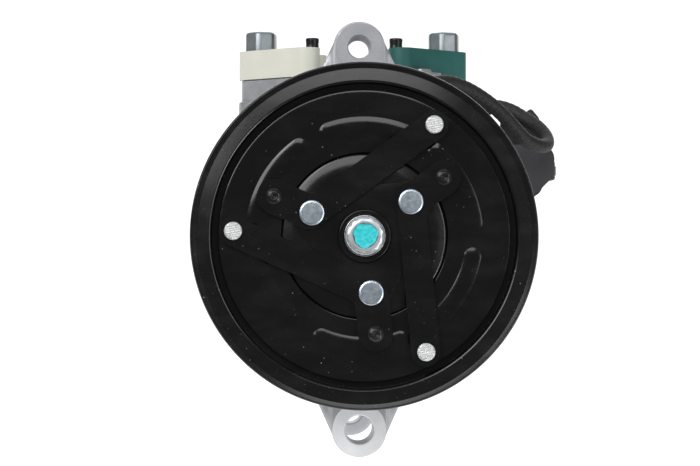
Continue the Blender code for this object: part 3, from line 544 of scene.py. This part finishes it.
def bead_height(radius, turn):
    """Height of the armature's six arc beads at a place, as a dome that dies out at its edge."""
    middle, half_width, tall = 42.6, 3.6, 0.64
    start, span, pitch, soft = 3.5, 49.0, 60.0, 3.2         # degrees; a bead's end dies out over soft
    angle = (math.degrees(turn) - start) % pitch
    beyond = max(0.0, angle - span) if angle < (pitch + span) / 2 else pitch - angle
    past = beyond + soft if beyond else max(0.0, soft - min(angle, span - angle))
    reach = math.hypot(radius - middle, math.radians(past) * middle)
    share = min(1.0, reach / half_width)
    return tall * (1 - share * share)


def make_armature(look):
    """Armature plate with its pressed beads, and the rivets that hang it on the springs."""
    rings = [(ARMATURE_HOLE, ARMATURE_REAR), (ARMATURE_HOLE, ARMATURE_FRONT + 0.35),
             (ARMATURE_HOLE + 0.12, ARMATURE_FRONT + 0.1), (ARMATURE_HOLE + 0.4, ARMATURE_FRONT)]
    radius = ARMATURE_HOLE + 1.2
    while radius < ARMATURE_RADIUS - 1:
        step = 0.24 if 38.8 < radius < 46.6 else 0.9
        rings.append((radius, lambda turn, r=radius: ARMATURE_FRONT - bead_height(r, turn)))
        radius += step
    rings += [(ARMATURE_RADIUS - 0.7, ARMATURE_FRONT), (ARMATURE_RADIUS - 0.2, ARMATURE_FRONT + 0.15),
              (ARMATURE_RADIUS, ARMATURE_FRONT + 0.6), (ARMATURE_RADIUS, ARMATURE_REAR - 0.3),
              (ARMATURE_RADIUS - 0.3, ARMATURE_REAR)]
    piece("armature_disc", lathe(rings, along_shaft(), 540), look["enamel"], "armature",
          ["armature_plate"])
    for number, angle in enumerate(TAB_ANGLES, 1):
        place = polar(OUTER_RIVET_CIRCLE, angle + STRAP_TURN)
        top = LEAF_FRONT - 1.35

        def knurl(r, turn, top=top):
            x, z = r * math.cos(turn + 0.6), r * math.sin(turn + 0.6)
            return top + 0.13 * math.cos(x * 5.2) * math.cos(z * 5.2)

        rings = [(0, LEAF_FRONT - 1.3)]
        rings += [(r / 10, lambda turn, r=r / 10: knurl(r, turn)) for r in range(2, 31, 2)]
        rings += [(3.3, top + 0.16), (3.48, top + 0.4), (3.5, LEAF_FRONT - 0.05), (2.0, LEAF_FRONT - 0.05),
                  (2.0, ARMATURE_REAR - 0.3), (0, ARMATURE_REAR - 0.3)]
        piece("strap_rivet_%d" % number, lathe(rings, along_shaft(*place), 72), look["pale_rivet"],
              "armature", ["armature_rivet_%d" % number])


def leaf_outline(angle):
    """An L-shaped leaf: a short radial tab and a long strap, both running from the inner rivet."""
    corner = Vector(polar(INNER_RIVET_CIRCLE, angle))
    tab_end = polar(STOPPER_CIRCLE, angle)
    strap_end = Vector(polar(OUTER_RIVET_CIRCLE, angle + STRAP_TURN))
    strap = math.degrees(math.atan2(strap_end.y - corner.y, strap_end.x - corner.x))
    tab_half, strap_half = 6.6, 5.6
    a, b = Vector(polar(tab_half, angle - 90)), Vector(polar(strap_half, strap + 90))
    u, v = Vector(polar(1, angle)), Vector(polar(1, strap))
    along = ((b.x - a.x) * -v.y + (b.y - a.y) * v.x) / (u.x * -v.y + u.y * v.x)
    crotch = corner + a + u * along
    soft = [tuple(crotch + v * 1.2), tuple(crotch + (u + v) * 0.35), tuple(crotch + u * 1.2)]
    points = soft + arc(tab_end, tab_half, angle - 90, angle + 90, 28)
    for step in range(13):
        share = step / 12
        turn = angle + 90 + (strap + 180 - angle) * share
        points.append(tuple(corner + Vector(polar(tab_half + (strap_half - tab_half) * share, turn))))
    return spaced(points + arc(strap_end, strap_half, strap + 270, strap + 450, 28), 2.5)


def make_leaf_springs(look):
    """The three springs, the rivets and stoppers on them."""
    for number, angle in enumerate(TAB_ANGLES, 1):
        corner = polar(INNER_RIVET_CIRCLE, angle)
        far = polar(OUTER_RIVET_CIRCLE, angle + STRAP_TURN)
        outlines = [leaf_outline(angle), circle(corner, 3.0, 32), circle(far, 2.6, 32)]
        plate = prism(outlines, LEAF_FRONT, LEAF_REAR, bevel=0.28, segments=1)
        leaf = piece("leaf_%d" % number, plate, look["leaf"], None,
                     ["leaf_spring_%d" % number])
        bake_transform(leaf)
        top = LEAF_FRONT - 1.2
        head = rounded([(0, top + 0.04), (4.2, top, 0.25), (4.85, top + 0.35, 0.25), (4.9, LEAF_FRONT - 0.05),
                        (2.5, LEAF_FRONT - 0.05), (2.5, -57.6), (4.0, -57.6), (4.0, -56.8), (0, -56.8)])
        piece("spring_rivet_%d" % number, lathe(head, along_shaft(*corner), 96), look["rivet_top"], "shaft",
              ["hub_rivet_%d" % number])
        dome = rounded([(0, LEAF_FRONT - 0.6), (0.6, LEAF_FRONT - 0.6, 0.25), (1.2, LEAF_FRONT - 1.25, 0.4),
                        (1.8, LEAF_FRONT - 1.2, 0.5), (3.15, LEAF_FRONT - 0.3, 0.4),
                        (3.2, LEAF_FRONT + 0.4), (0, LEAF_FRONT + 0.4)])
        piece("stopper_%d" % number, lathe(dome, along_shaft(*polar(STOPPER_CIRCLE, angle)), 72),
              look["rubber"], "shaft")


def make_hub(look):
    """Hub disc with its rounded rim, the three-cornered plate on it, and the boss on the shaft."""
    disc = rounded([(8.35, -63, 0.2), (10, -63, 0.4), (10, HUB_FACE - 0.1), (11.2, HUB_FACE, 0.4),
                    (27.0, HUB_FACE, 2.5), (31.3, HUB_FACE + 1.15, 0.4), (31.95, HUB_FACE + 1.6, 0.3),
                    (31.95, -57.9, 0.2), (11.5, -57.9, 0.8),
                    (11.5, -54, 0.3), (8.35, -54)], 8)
    corners = [polar(INNER_RIVET_CIRCLE, angle) for angle in TAB_ANGLES]
    cover = prism([hull([(x, z, 7.9) for x, z in corners]), circle((0, 0), 10.4, 64)], LEAF_REAR + 0.03,
                  HUB_FACE + 0.2, bevel=0.12)
    piece("hub_disc", merged(lathe(disc, along_shaft(), 240), cover), look["leaf"], "shaft",
          ["clutch_hub"])


def hexagon(across_flats, turn, start=0.0):
    """Distance from the centre to a hexagon's side at an angle."""
    return across_flats / 2 / math.cos((turn - start) % (math.pi / 3) - math.pi / 6)


def hexagon_rings(across_flats, flange, bottom, top, direction=1, start=0.0, bore=0.0, crown=0.0):
    """Rings of a flanged hexagon head or nut, with the chamfer that cuts its corners."""
    inner = across_flats / 2
    seat = bottom + direction * 1.5

    def side(turn):
        return hexagon(across_flats, turn, start)

    def shoulder(turn):
        return top - direction * max(0.0, side(turn) - inner * 0.985) * 0.62

    rings = [(bore, bottom), (flange, bottom), (flange, bottom + direction * 0.7),
             (flange - 0.35, bottom + direction * 1.0), (inner * 1.12, seat + direction * 0.15),
             (side, seat + direction * 0.5), (side, shoulder), (inner * 0.965, top)]
    if bore:
        rings += [(bore + 0.7, top), (bore, top - direction * 0.7)]
    else:
        rings += [(inner * 0.6, top + direction * crown * 0.75), (0, top + direction * crown)]
    return rings


def make_shaft_end(look):
    """Shaft with its painted stud end, and the flanged nut on it."""
    start, end = stations("drive_shaft")
    outline = rounded([(0, start), (4.0, start, 0.5), (4.0, -63.2), (8.0, -63.2, 0.3), (8.0, -30),
                       (9.0, -30, 0.3), (9.0, end, 0.6), (0, end)])
    piece("shaft", lathe(outline, along_shaft(), 96), look["steel"], "shaft",
          ["drive_shaft"])
    nut = hexagon_rings(12.0, 7.35, -63.3, NUT_FRONT, -1, math.radians(12), 4.35)
    piece("shaft_nut", lathe(nut, along_shaft(), 180), look["nut"], "shaft", ["clutch_nut"])

    def edge(turn):
        return 4.55 + 0.28 * math.sin(3 * turn + 0.6) + 0.17 * math.sin(7 * turn)

    front = start - 0.12
    dab = [(0, front - 0.25), (1.8, front - 0.2), (3.3, front - 0.05), (edge, NUT_FRONT - 0.04),
           (edge, NUT_FRONT + 0.06), (3.6, front + 0.3), (0, front + 0.3)]
    piece("stud_paint", lathe(dab, along_shaft(), 96), look["paint"], "shaft")


def make_coil(look):
    """Field coil: steel shell, its filled mouth, mounting plate and lead boss."""
    shell = rounded([(53.7, -26.3, 0.5), (53.7, -49.7, 0.6), (50.6, -49.7, 0.3), (50.6, -48.9, 0.3),
                     (35.4, -48.9, 0.3), (35.4, -49.7, 0.3), (32.3, -49.7, 0.6), (32.3, -29.3, 0.5),
                     (20.3, -29.3, 0.3), (20.3, -26.3, 0.3)])
    turn = math.radians(22)
    boss = block((-5, -29, 48), (5, -18.5, 57.6), 1.2, turn)
    collar = block((-4, -26, 46.5), (4, -19.5, 58.2), 1.5, turn)
    piece("field_coil", merged(lathe(shell, along_shaft(), 200), boss, collar), look["coil"], "housing",
          ["clutch_coil"])


# --- Castings ---------------------------------------------------------------------------------------
def lug_outline(side, radius):
    """A lug's round end and its web down to the body; side is 1 above the shaft, -1 below."""
    return hull([(0, side * LUG_REACH, radius), (26, side * 46, 1), (-26, side * 46, 1)])


def rod(place, start, end, radius, steps=48):
    """A solid round bar along the shaft."""
    return lathe([(0, start), (radius, start), (radius, end), (0, end)], along_shaft(*place), steps)


def bolt_holes(start, end, radius=3.4):
    """Cutters for the through bolts."""
    return [rod(around_top(BOLT_CIRCLE, angle), start, end, radius, 32) for angle in BOLT_ANGLES]


def lug_bore(side, radius, start, end):
    """Cutter for a lug's hole with a chamfer at each face."""
    wide = radius + 0.5
    return lathe([(0, start - 1), (wide, start - 1), (wide, start), (radius, start + 0.5),
                  (radius, end - 0.5), (wide, end), (wide, end + 1), (0, end + 1)],
                 along_shaft(0, side * LUG_REACH), 64)


def lug(side, radius, start, end):
    """A lug between two stations: its webs stand back from the round boss at its end."""
    web = prism([lug_outline(side, radius - 0.3)], start + 1.2, end - 1.2, bevel=0.8)
    boss = prism([hull([(0, side * LUG_REACH, radius), (0, side * (LUG_REACH - 17), radius)])], start, end,
                 bevel=0.5)
    return merged(web, boss)


def lug_face(name, look, side, radii, face, direction, finish):
    """The machined face round a lug's hole."""
    inner, outer = radii
    near = face - direction * 0.04
    ring = [(inner + 0.45, near), (outer, near), (outer - 0.12, near - direction * 0.08),
            (outer, face + direction * 0.4), (inner, face + direction * 0.4),
            (inner, face + direction * 0.35)]
    piece(name, lathe(ring, along_shaft(0, side * LUG_REACH), 96), look[finish], "housing")


def make_front_head(look):
    """Front head casting: nose, cone with ribs, rim and the two lugs."""
    outline = [(BODY_RADIUS, HEAD_REAR), (BODY_RADIUS, HEAD_REAR - 6), (BODY_RADIUS - 1.6, HEAD_REAR - 8),
               (BODY_RADIUS - 1.6, -2), (57, -6), (52, -11), (36.5, -24), (36.5, -26), (19.5, -26),
               (19.5, -30.7), (17.5, -30.7), (17.5, -53), (13, -53), (13, -30), (10.5, -30), (10.5, 0),
               (13.5, 0), (13.5, HEAD_REAR - 10), (31, HEAD_REAR - 10), (31, HEAD_REAR), (34, HEAD_REAR),
               (34, HEAD_REAR - 10), (47.5, HEAD_REAR - 10), (47.5, HEAD_REAR)]
    ribs = [block((-1.8, -20, 33), (1.8, 4, 57), 0.6, math.radians(45 * k + 22.5)) for k in range(8)]
    bosses = [rod(around_top(BOLT_CIRCLE, a), 0, HEAD_REAR, 8.2) for a in BOLT_ANGLES]
    solid = merged(lathe(outline, along_shaft(), 120), lug(1, UPPER_LUG, 0, HEAD_REAR),
                   lug(-1, LOWER_LUG, 0, HEAD_REAR), *ribs, *bosses)
    bores = [lug_bore(1, UPPER_BORE, 0, HEAD_REAR), lug_bore(-1, LOWER_BORE, 0, HEAD_REAR)]
    holed = carved(cast(solid, 0.8), bores + bolt_holes(2, HEAD_REAR + 2))
    piece("front_head_casting", holed, look["casting"], "housing", ["front_head"])
    lug_face("front_upper_lug_face", look, 1, (4.62, 9.8), 0, 1, "casting")
    lug_face("front_lower_lug_face", look, -1, (5.92, 11.1), 0, 1, "lug")


def make_rear_head(look):
    """Rear head casting: closed cover with bolt seats, ribs and the rear lug."""
    seat, lug_end = REAR_END - 5, REAR_HEAD + REAR_LUG_DEPTH
    outline = [(0, REAR_END), (38, REAR_END), (41, REAR_END - 1.5), (43, seat), (BODY_RADIUS, seat),
               (BODY_RADIUS, REAR_HEAD), (47.5, REAR_HEAD), (47.5, REAR_HEAD + 11), (34, REAR_HEAD + 11),
               (34, REAR_HEAD), (31, REAR_HEAD), (31, REAR_HEAD + 11), (17, REAR_HEAD + 11), (17, REAR_HEAD),
               (13, REAR_HEAD), (13, REAR_HEAD + 11), (0, REAR_HEAD + 11)]
    bosses = [rod(around_top(BOLT_CIRCLE + 0.5, a), REAR_HEAD, seat, 8.6) for a in BOLT_ANGLES]
    ribs = [block((-1.6, seat - 4, 36), (1.6, seat + 3.2, 57), 0.6, math.radians(60 * k)) for k in range(6)]
    hub = lathe([(0, REAR_END - 3), (15, REAR_END - 3), (15, REAR_END), (0, REAR_END)], along_shaft(), 64)
    solid = merged(lathe(outline, along_shaft(), 120), hub, lug(-1, LOWER_LUG, REAR_HEAD, lug_end),
                   *bosses, *ribs)
    pocket = lathe([(17, REAR_END + 1), (17, REAR_END - 1.6), (35, REAR_END - 1.6), (35, REAR_END + 1)],
                   along_shaft(), 96)
    cutters = [lug_bore(-1, LOWER_BORE, REAR_HEAD, lug_end)] + bolt_holes(REAR_HEAD - 2, seat + 2)
    holed = carved(cast(carved(solid, [pocket]), 0.8), cutters)
    piece("rear_head_casting", holed, look["casting"], "housing", ["rear_head"])
    lug_face("rear_lug_face", look, -1, (5.92, 11.1), lug_end, -1, "machined")


def make_block(name, look, chamber, extra=()):
    """Half of the cylinder body with its bores, rims, bolt bosses and long ribs."""
    (start, end), radius = stations(name), BODY_RADIUS
    outline = [(13.5, start), (radius, start), (radius, start + 6), (radius - 2, start + 8),
               (radius - 2, end - 8), (radius, end - 6), (radius, end), (13.5, end)]
    bosses = [rod(around_top(BOLT_CIRCLE + 0.6, angle), start, end, 8.6) for angle in BOLT_ANGLES]
    turns = [math.radians(60 * k + 15 * s) for k in range(6) for s in (-1, 1)]
    ribs = [block((-1.5, start + 4, radius - 6), (1.5, end - 4, radius - 0.4), 0.6, turn) for turn in turns]
    solid = cast(merged(lathe(outline, along_shaft(), 120), *bosses, *ribs, *extra), 0.9)
    cutters = [rod(around_top(CYLINDER_CIRCLE, angle), start - 2, end + 2, BORE_RADIUS, 64)
               for angle in CYLINDER_ANGLES]
    cutters.append(rod((0, 0), chamber[0], chamber[1], 47, 96))
    cutters += bolt_holes(start - 2, end + 2)
    piece(name + "_casting", carved(solid, cutters), look["casting"], "housing", [name])


def make_plates(look):
    """Valve and reed plates, of which the rims show between the castings."""
    bolts = [circle(around_top(BOLT_CIRCLE, angle), 3.4, 24) for angle in BOLT_ANGLES]
    ports = [circle(around_top(reach, angle), 3.2, 24) for angle in CYLINDER_ANGLES for reach in (26, 41.5)]
    for node in ("front_valve_plate", "front_reed_plate", "rear_reed_plate", "rear_valve_plate"):
        low, high = box_mm(node)
        outlines = [circle((0, 0), high[0] + 0.2, 160), circle((0, 0), 14, 48)] + bolts + ports
        finish = look["machined"] if "valve" in node else look["steel"]
        piece(node + "_disc", prism(outlines, low[1], high[1], bevel=0.12), finish, "housing",
              [node])


def make_through_bolts(look):
    """Six long bolts with flanged hexagon heads on the rear head."""
    for number, angle in enumerate(BOLT_ANGLES, 1):
        low, high = box_mm("through_bolt_%d" % number)
        place = around_top(BOLT_CIRCLE, angle)
        seat = high[1] - 5.5
        head = hexagon_rings(10.0, 6.9, seat, high[1] - 0.3, 1, math.radians(7 * number), 0, 0.3)
        head[0] = (3.0, seat)
        rings = [(0, low[1]), (2.5, low[1]), (3.0, low[1] + 0.5)] + head
        piece("long_bolt_%d" % number, lathe(rings, along_shaft(*place), 72), look["zinc"], "housing",
              ["through_bolt_%d" % number])


# --- Ports, caps, lead and connector ----------------------------------------------------------------
PORT_PLAN = [(20.8, 67.0, 5.6), (45.0, 87.0, 5.0), (41.0, 99.0, 8.0)]
CAP_PLAN = [(21.2, 66.8, 6.0), (45.8, 87.0, 5.2), (40.8, 98.0, 8.5), (23.0, 86.0, 7.8)]
CAP_BOLT, CAP_BOLT_HOLE = (41.3, 92.0), 4.3
CAP_PLUG = (18.5, 69.0)
PORT = (26.0, 76.0)
STEP_HEIGHT = 62.0            # where the port block widens below its machined top


def make_manifold(look):
    """The port block: machined top part on a slightly wider cast foot that sits on the cylinder body."""
    both = [(side * x, y, r) for x, y, r in PORT_PLAN for side in (-1, 1)]
    top = prism([hull(both)], STEP_HEIGHT - 3, DECK, upright(), bevel=0.5)
    foot = prism([hull([(x, y, r + 1.3) for x, y, r in both])], 36, STEP_HEIGHT, upright(), bevel=1.0)
    saddle = rod((0, 0), 40, 130, BODY_RADIUS + 0.2, 120)
    wells = [lathe([(0, DECK - depth), (radius, DECK - depth), (radius, DECK + 2), (0, DECK + 2)],
                   upright(side * x, y), steps)
             for (x, y), radius, depth, steps in ((PORT, 7.6, 20, 64), (CAP_BOLT, CAP_BOLT_HOLE, 14, 48))
             for side in (-1, 1)]
    lumps = ((30.6, 62.6, 1.5, 75.4), (35.2, 66.2, 1.8, 74.0), (40.0, 70.4, 1.3, 71.6))
    lip = [prism([hull([(x - 1.6, y - 1.2, r), (x + 1.6, y + 1.2, r)], 24)], DECK - 4, z, upright(),
                 bevel=0.8) for x, y, r, z in lumps]
    shape = carved(cast(merged(top, foot, *lip), 0.6, 3), [saddle] + wells)
    piece("port_block", shape, look["casting"], "housing", ["port_manifold"])


def make_cap(look, label, side, finish):
    """A port's cap with its spigot and raised step, its hexagon bolt and its small plug."""
    plan = hull([(side * x, y, r) for x, y, r in CAP_PLAN])
    holes = [circle((side * CAP_BOLT[0], CAP_BOLT[1]), CAP_BOLT_HOLE, 48),
             circle((side * CAP_PLUG[0], CAP_PLUG[1]), 2.3, 32)]
    body = prism([plan] + holes, CAP_BOTTOM, CAP_TOP, upright(), bevel=0.7)
    inner = hull([(side * 17.6, 71.5, 5.4), (side * 20, 86.0, 7.0)])
    step = prism([inner], CAP_BOTTOM + 0.5, CAP_TOP - 2.9, upright(), bevel=0.6)
    spigot = lathe(rounded([(0, DECK - 8), (7.1, DECK - 8, 0.6), (7.1, CAP_BOTTOM + 1), (0, CAP_BOTTOM + 1)]),
                   upright(side * PORT[0], PORT[1]), 72)
    piece(label + "_cap_shell", merged(body, step, spigot), look[finish], "housing",
          [label + "_cap"])
    seat = CAP_TOP + 0.05
    top = box_mm(label + "_cap_bolt")[1][2]
    across, corner, start = 13.2, 7.1, math.radians(20)
    head = [(4.0, seat)]
    for inset, height in ((0.25, seat), (0, seat + 0.3), (0, top - 1.5), (0.12, top - 1.0), (0.45, top - 0.5),
                          (0.95, top - 0.18), (1.6, top)):
        head.append((lambda turn, inset=inset: min(hexagon(across, turn, start), corner) - inset, height))
    rings = [(0, DECK - 13), (3.4, DECK - 13), (4.0, DECK - 12.4)] + head + [(0, top)]
    piece(label + "_cap_screw", lathe(rings, upright(side * CAP_BOLT[0], CAP_BOLT[1]), 96), look["zinc"],
          "housing", [label + "_cap_bolt"])
    plug_top = box_mm(label + "_cap_plug")[1][2]
    plug = rounded([(0, CAP_TOP - 4.5), (2.1, CAP_TOP - 4.5, 0.3), (2.1, seat), (2.95, seat, 0.2),
                    (2.8, seat + 1.4, 0.3), (3.0, plug_top - 0.5, 0.3), (2.7, plug_top, 0.3), (0, plug_top)])
    piece(label + "_cap_stud", lathe(plug, upright(side * CAP_PLUG[0], CAP_PLUG[1]), 64), look["rubber"],
          "housing", [label + "_cap_plug"])


LEAD_ROUTE = [                # (x, station, height above the shaft axis)
    (22.0, -23.0, 54.6), (23.3, -22.6, 57.8), (28.2, -18.9, 61.7), (35.2, -13.8, 63.3),
    (42.2, -9.6, 61.7), (48.5, -6.4, 58.7), (54.2, -3.8, 55.0), (59.4, -1.6, 50.6),
    (64.0, 0.6, 45.9), (69.2, 3.4, 40.9), (75.0, 7.6, 38.6), (79.0, 13.4, 39.4),
    (79.4, 20.0, 43.2), (76.4, 26.0, 47.8), (71.4, 30.2, 51.6), (65.6, 33.2, 55.2),
    (59.4, 35.6, 56.8), (53.4, 38.0, 54.6), (50.0, 40.0, 49.2), (50.0, 40.6, 43.2),
    (52.0, 38.6, 37.6), (54.6, 35.2, 33.8), (59.0, 32.8, 32.4)]


def smooth_route(points, gap):
    """Points about a gap apart on a smooth curve through the route's own points."""
    places = [Vector(point) for point in points]
    places = [places[0] * 2 - places[1]] + places + [places[-1] * 2 - places[-2]]
    dense = []
    for a, b, c, d in zip(places, places[1:], places[2:], places[3:]):
        parts = math.ceil((c - b).length / gap)
        for step in range(parts):
            t = step / parts
            dense.append(0.5 * (2 * b + (c - a) * t + (2 * a - 5 * b + 4 * c - d) * t * t
                                + (3 * b - a - 3 * c + d) * t ** 3))
    return dense + [places[-2]]


def make_lead(look):
    """The clutch lead's braided sleeve, its two families of yarn raised in the surface."""
    route = smooth_route(LEAD_ROUTE, 0.22)
    sides, yarns, pitch, radius, relief = 96, 13, 5.2, 2.86, 0.17
    bm = bmesh.new()
    across = Vector((0, 0, 1))
    length, before, rings = 0.0, route[0], []
    for index, place in enumerate(route):
        ahead = (route[min(index + 1, len(route) - 1)] - route[max(index - 1, 0)]).normalized()
        across = (across - ahead * across.dot(ahead)).normalized()
        other = ahead.cross(across)
        length += (place - before).length
        before = place
        ring = []
        for step in range(sides):
            turn = 2 * math.pi * step / sides
            twist = length / pitch * math.pi * 2
            left = abs(math.sin((yarns * turn + twist) / 2))
            right = abs(math.sin((yarns * turn - twist) / 2))
            r = radius + relief * max(left, right) ** 2 - relief * 0.5 * min(left, right)
            ring.append(bm.verts.new(place + (across * math.cos(turn) + other * math.sin(turn)) * r))
        rings.append(ring)
    for a, b in zip(rings, rings[1:]):
        for step in range(sides):
            bm.faces.new((a[step], a[(step + 1) % sides], b[(step + 1) % sides], b[step]))
    bm.faces.new(rings[0])
    bm.faces.new(rings[-1])
    piece("lead_sleeve", to_world(bm), look["sleeve"], "housing", ["clutch_lead"], 60)


def make_connector(look):
    """Two-way connector with its latch and nose, the bent bracket and its bolt."""
    middle = (72.4, 29.0)
    corners = [(67.2, 24.0, 6.0), (67.2, 34.0, 6.0), (77.6, 34.0, 6.0), (77.4, 29.5, 6.2), (72.8, 25.0, 6.3)]
    shell = prism([hull(corners)], 24, 41.7, bevel=1.4)
    collar = prism([hull([(x, z, r + 0.45) for x, z, r in corners])], 33.0, 36.0, bevel=0.5)
    nose = block((middle[0] - 7, 40, middle[1] - 6), (middle[0] + 7, 50, middle[1] + 6), 0.8)
    latch = block((middle[0] + 8.5, 25, middle[1] - 4.0), (middle[0] + 11.6, 40, middle[1] + 4.0), 0.8)
    finger = block((middle[0] + 9.6, 27, middle[1] - 2.2), (middle[0] + 12.2, 31, middle[1] + 2.2), 0.6)
    entry = lathe(rounded([(0, -8), (3.9, -8), (4.3, -1, 0.5), (4.3, 2.6, 0.8), (3.3, 2.6), (0, 2.6)]),
                  Matrix.Translation((60.0, 32.4, 32.0)) @ Matrix.Rotation(math.radians(-90), 4, "Y"), 48)
    socket = block((middle[0] - 5.2, 37, middle[1] - 4.2), (middle[0] + 5.2, 52, middle[1] + 4.2), 0.4)
    body = carved(nose, [socket])
    piece("clutch_connector", merged(shell, collar, body, latch, finger, entry), look["plastic"], "housing",
          ["connector_housing"])
    station = stations("connector_bracket")[0]
    edge = [(62.3, 5), (70, 5), (75.5, 17.5), (79.4, 20.2), (81.9, 25.5), (82, 38), (79.3, 46), (79.3, 52.3),
            (75.6, 56.7), (72.7, 54.5), (68, 53.5), (62.3, 56)]
    window = [(middle[0] + x, middle[1] + z) for x, z in ((-7.5, -6.5), (7.5, -6.5), (7.5, 6.5), (-7.5, 6.5))]
    arm = prism([rounded([(x, z, 1.2) for x, z in edge]), window], station, station + 1.5, bevel=0.3)
    foot = block((62.6, station + 0.1, 5.3), (64.1, 58, 18.7), 0.3)
    piece("bracket", merged(arm, foot), look["bracket"], "housing", ["connector_bracket"])
    bolt_low, bolt_high = box_mm("bracket_bolt")
    place = [(a + b) / 2 for a, b in zip(bolt_low, bolt_high)]
    seat, shank = 64.2, 2.4
    head = hexagon_rings(8.0, 5.4, seat, bolt_high[0] - 0.3, 1, 0, 0, 0.3)
    head[0] = (shank, seat)
    rings = [(0, bolt_low[0]), (shank, bolt_low[0] + 0.4)] + head
    sideways = Matrix.Translation((0, place[1], place[2])) @ Matrix.Rotation(math.radians(90), 4, "Y")
    piece("bracket_screw", lathe(rings, sideways, 60), look["zinc"], "housing",
          ["bracket_bolt"])


# --- Whole object -----------------------------------------------------------------------------------
def finish_frame(look):
    """Gives the CAD nodes that stay their finishes."""
    by_slot = {"cast_aluminium": "machined", "machined_steel": "steel", "bright_zinc": "zinc",
               "black_paint": "coil", "black_plastic": "plastic", "rubber": "rubber", "bronze": "bronze",
               "ivory_plastic": "ivory", "green_plastic": "green", "lead_sleeve": "sleeve"}
    slots = {part["node"]: part["material_slot"] for part in frame["record"]["subparts"]}
    for name, node in frame["nodes"].items():
        if not node.hide_render:
            node.data.materials.clear()
            node.data.materials.append(look[by_slot[slots[name]]])


def make_stage():
    """Pale floor and backdrop."""
    bm = bmesh.new()
    floor = CAD_BOX[0].z - 0.0002
    half, back, rise, bend = 4.0, 3.0, 3.5, 1.2
    profile = [(-0.1, floor), (back - bend, floor)]
    profile += [(back - bend + bend * math.sin(a), floor + bend - bend * math.cos(a))
                for a in [math.pi / 2 * k / 12 for k in range(1, 13)]]
    profile.append((back, floor + rise))
    rows = [[bm.verts.new((x, y, z)) for y, z in profile] for x in (-half, half)]
    for index in range(len(profile) - 1):
        bm.faces.new((rows[0][index], rows[1][index], rows[1][index + 1], rows[0][index + 1]))
    floor_piece = as_object("studio_floor", bm)
    floor_piece.data.shade_smooth()
    made = Finish("studio_paper", 0.9, Specular_IOR_Level=0.1)
    made.colour(made.blend(made.noise(3, 3), (0.34,) * 3, (0.36,) * 3))
    made.shader.inputs["Emission Color"].default_value = (1, 1, 1, 1)
    made.shader.inputs["Emission Strength"].default_value = 1.0
    floor_piece.data.materials.append(made.material)


def aimed(name, data, place, direction):
    """A light or camera at a place, looking in a direction."""
    made = bpy.data.objects.new(name, data)
    bpy.context.scene.collection.objects.link(made)
    made.location = place
    made.rotation_mode = "QUATERNION"
    made.rotation_quaternion = Vector(direction).to_track_quat("-Z", "Y")
    return made


def area_light(name, place, size, power):
    """A soft box aimed at the shaft axis where the station is 0."""
    data = bpy.data.lights.new(name, "AREA")
    data.shape, data.size, data.size_y = "RECTANGLE", size[0], size[1]
    data.energy = power
    aimed(name, data, place, Vector((0, 0, AXIS * MM)) - Vector(place))


def make_lights():
    """Soft boxes on every side of the object, and a surround that is bright only to the camera."""
    area_light("key_left", (-0.82, -0.95, 0.76), (0.9, 0.9), 12)
    area_light("fill_right", (0.97, -0.92, 0.30), (0.4, 0.9), 3.5)
    area_light("top_front", (-0.12, -1.0, 0.78), (0.9, 0.45), 4)
    area_light("card_low", (0.85, -0.75, -0.45), (0.3, 0.6), 4)
    area_light("top", (0.0, 0.15, 1.3), (1.4, 1.2), 4.5)
    area_light("back", (0.2, 1.5, 0.9), (1.4, 0.8), 5)
    world = bpy.data.worlds.new("surround")
    world.use_nodes = True
    nodes, links = world.node_tree.nodes, world.node_tree.links
    seen = nodes.new("ShaderNodeLightPath").outputs["Is Camera Ray"]
    level = nodes.new("ShaderNodeMapRange")
    level.inputs["To Min"].default_value, level.inputs["To Max"].default_value = 0.12, 1.0
    links.new(seen, level.inputs["Value"])
    links.new(level.outputs["Result"], nodes["Background"].inputs["Strength"])
    nodes["Background"].inputs["Color"].default_value = (1, 1, 1, 1)
    bpy.context.scene.world = world


def make_camera():
    """The camera: in front of the clutch, a little to the left and below the shaft axis."""
    data = bpy.data.cameras.new("camera")
    data.lens, data.sensor_width = 119.67, 36
    bpy.context.scene.camera = aimed("camera", data, (-0.0319, -0.9594, 0.0654), (0.02921, 0.99944, 0.01634))
    bpy.context.scene.view_settings.view_transform = "Standard"


def build():
    """Every piece, in the order it would be put together."""
    look = make_materials()
    make_camera()
    make_pulley(look)
    make_armature(look)
    make_leaf_springs(look)
    make_hub(look)
    make_shaft_end(look)
    make_coil(look)
    make_front_head(look)
    bracket_pad = block((54, 42.5, 5), (62, 58, 19), 0.6)
    middle = (stations("front_cylinder_block")[1] + stations("rear_cylinder_block")[0]) / 2
    make_block("front_cylinder_block", look, (middle - 19.6, middle + 5), [bracket_pad])
    make_block("rear_cylinder_block", look, (middle - 5, middle + 19.6))
    make_plates(look)
    make_rear_head(look)
    make_through_bolts(look)
    make_manifold(look)
    make_cap(look, "suction", -1, "ivory")
    make_cap(look, "discharge", 1, "green")
    make_lead(look)
    make_connector(look)
    finish_frame(look)
    make_stage()
    make_lights()


build()
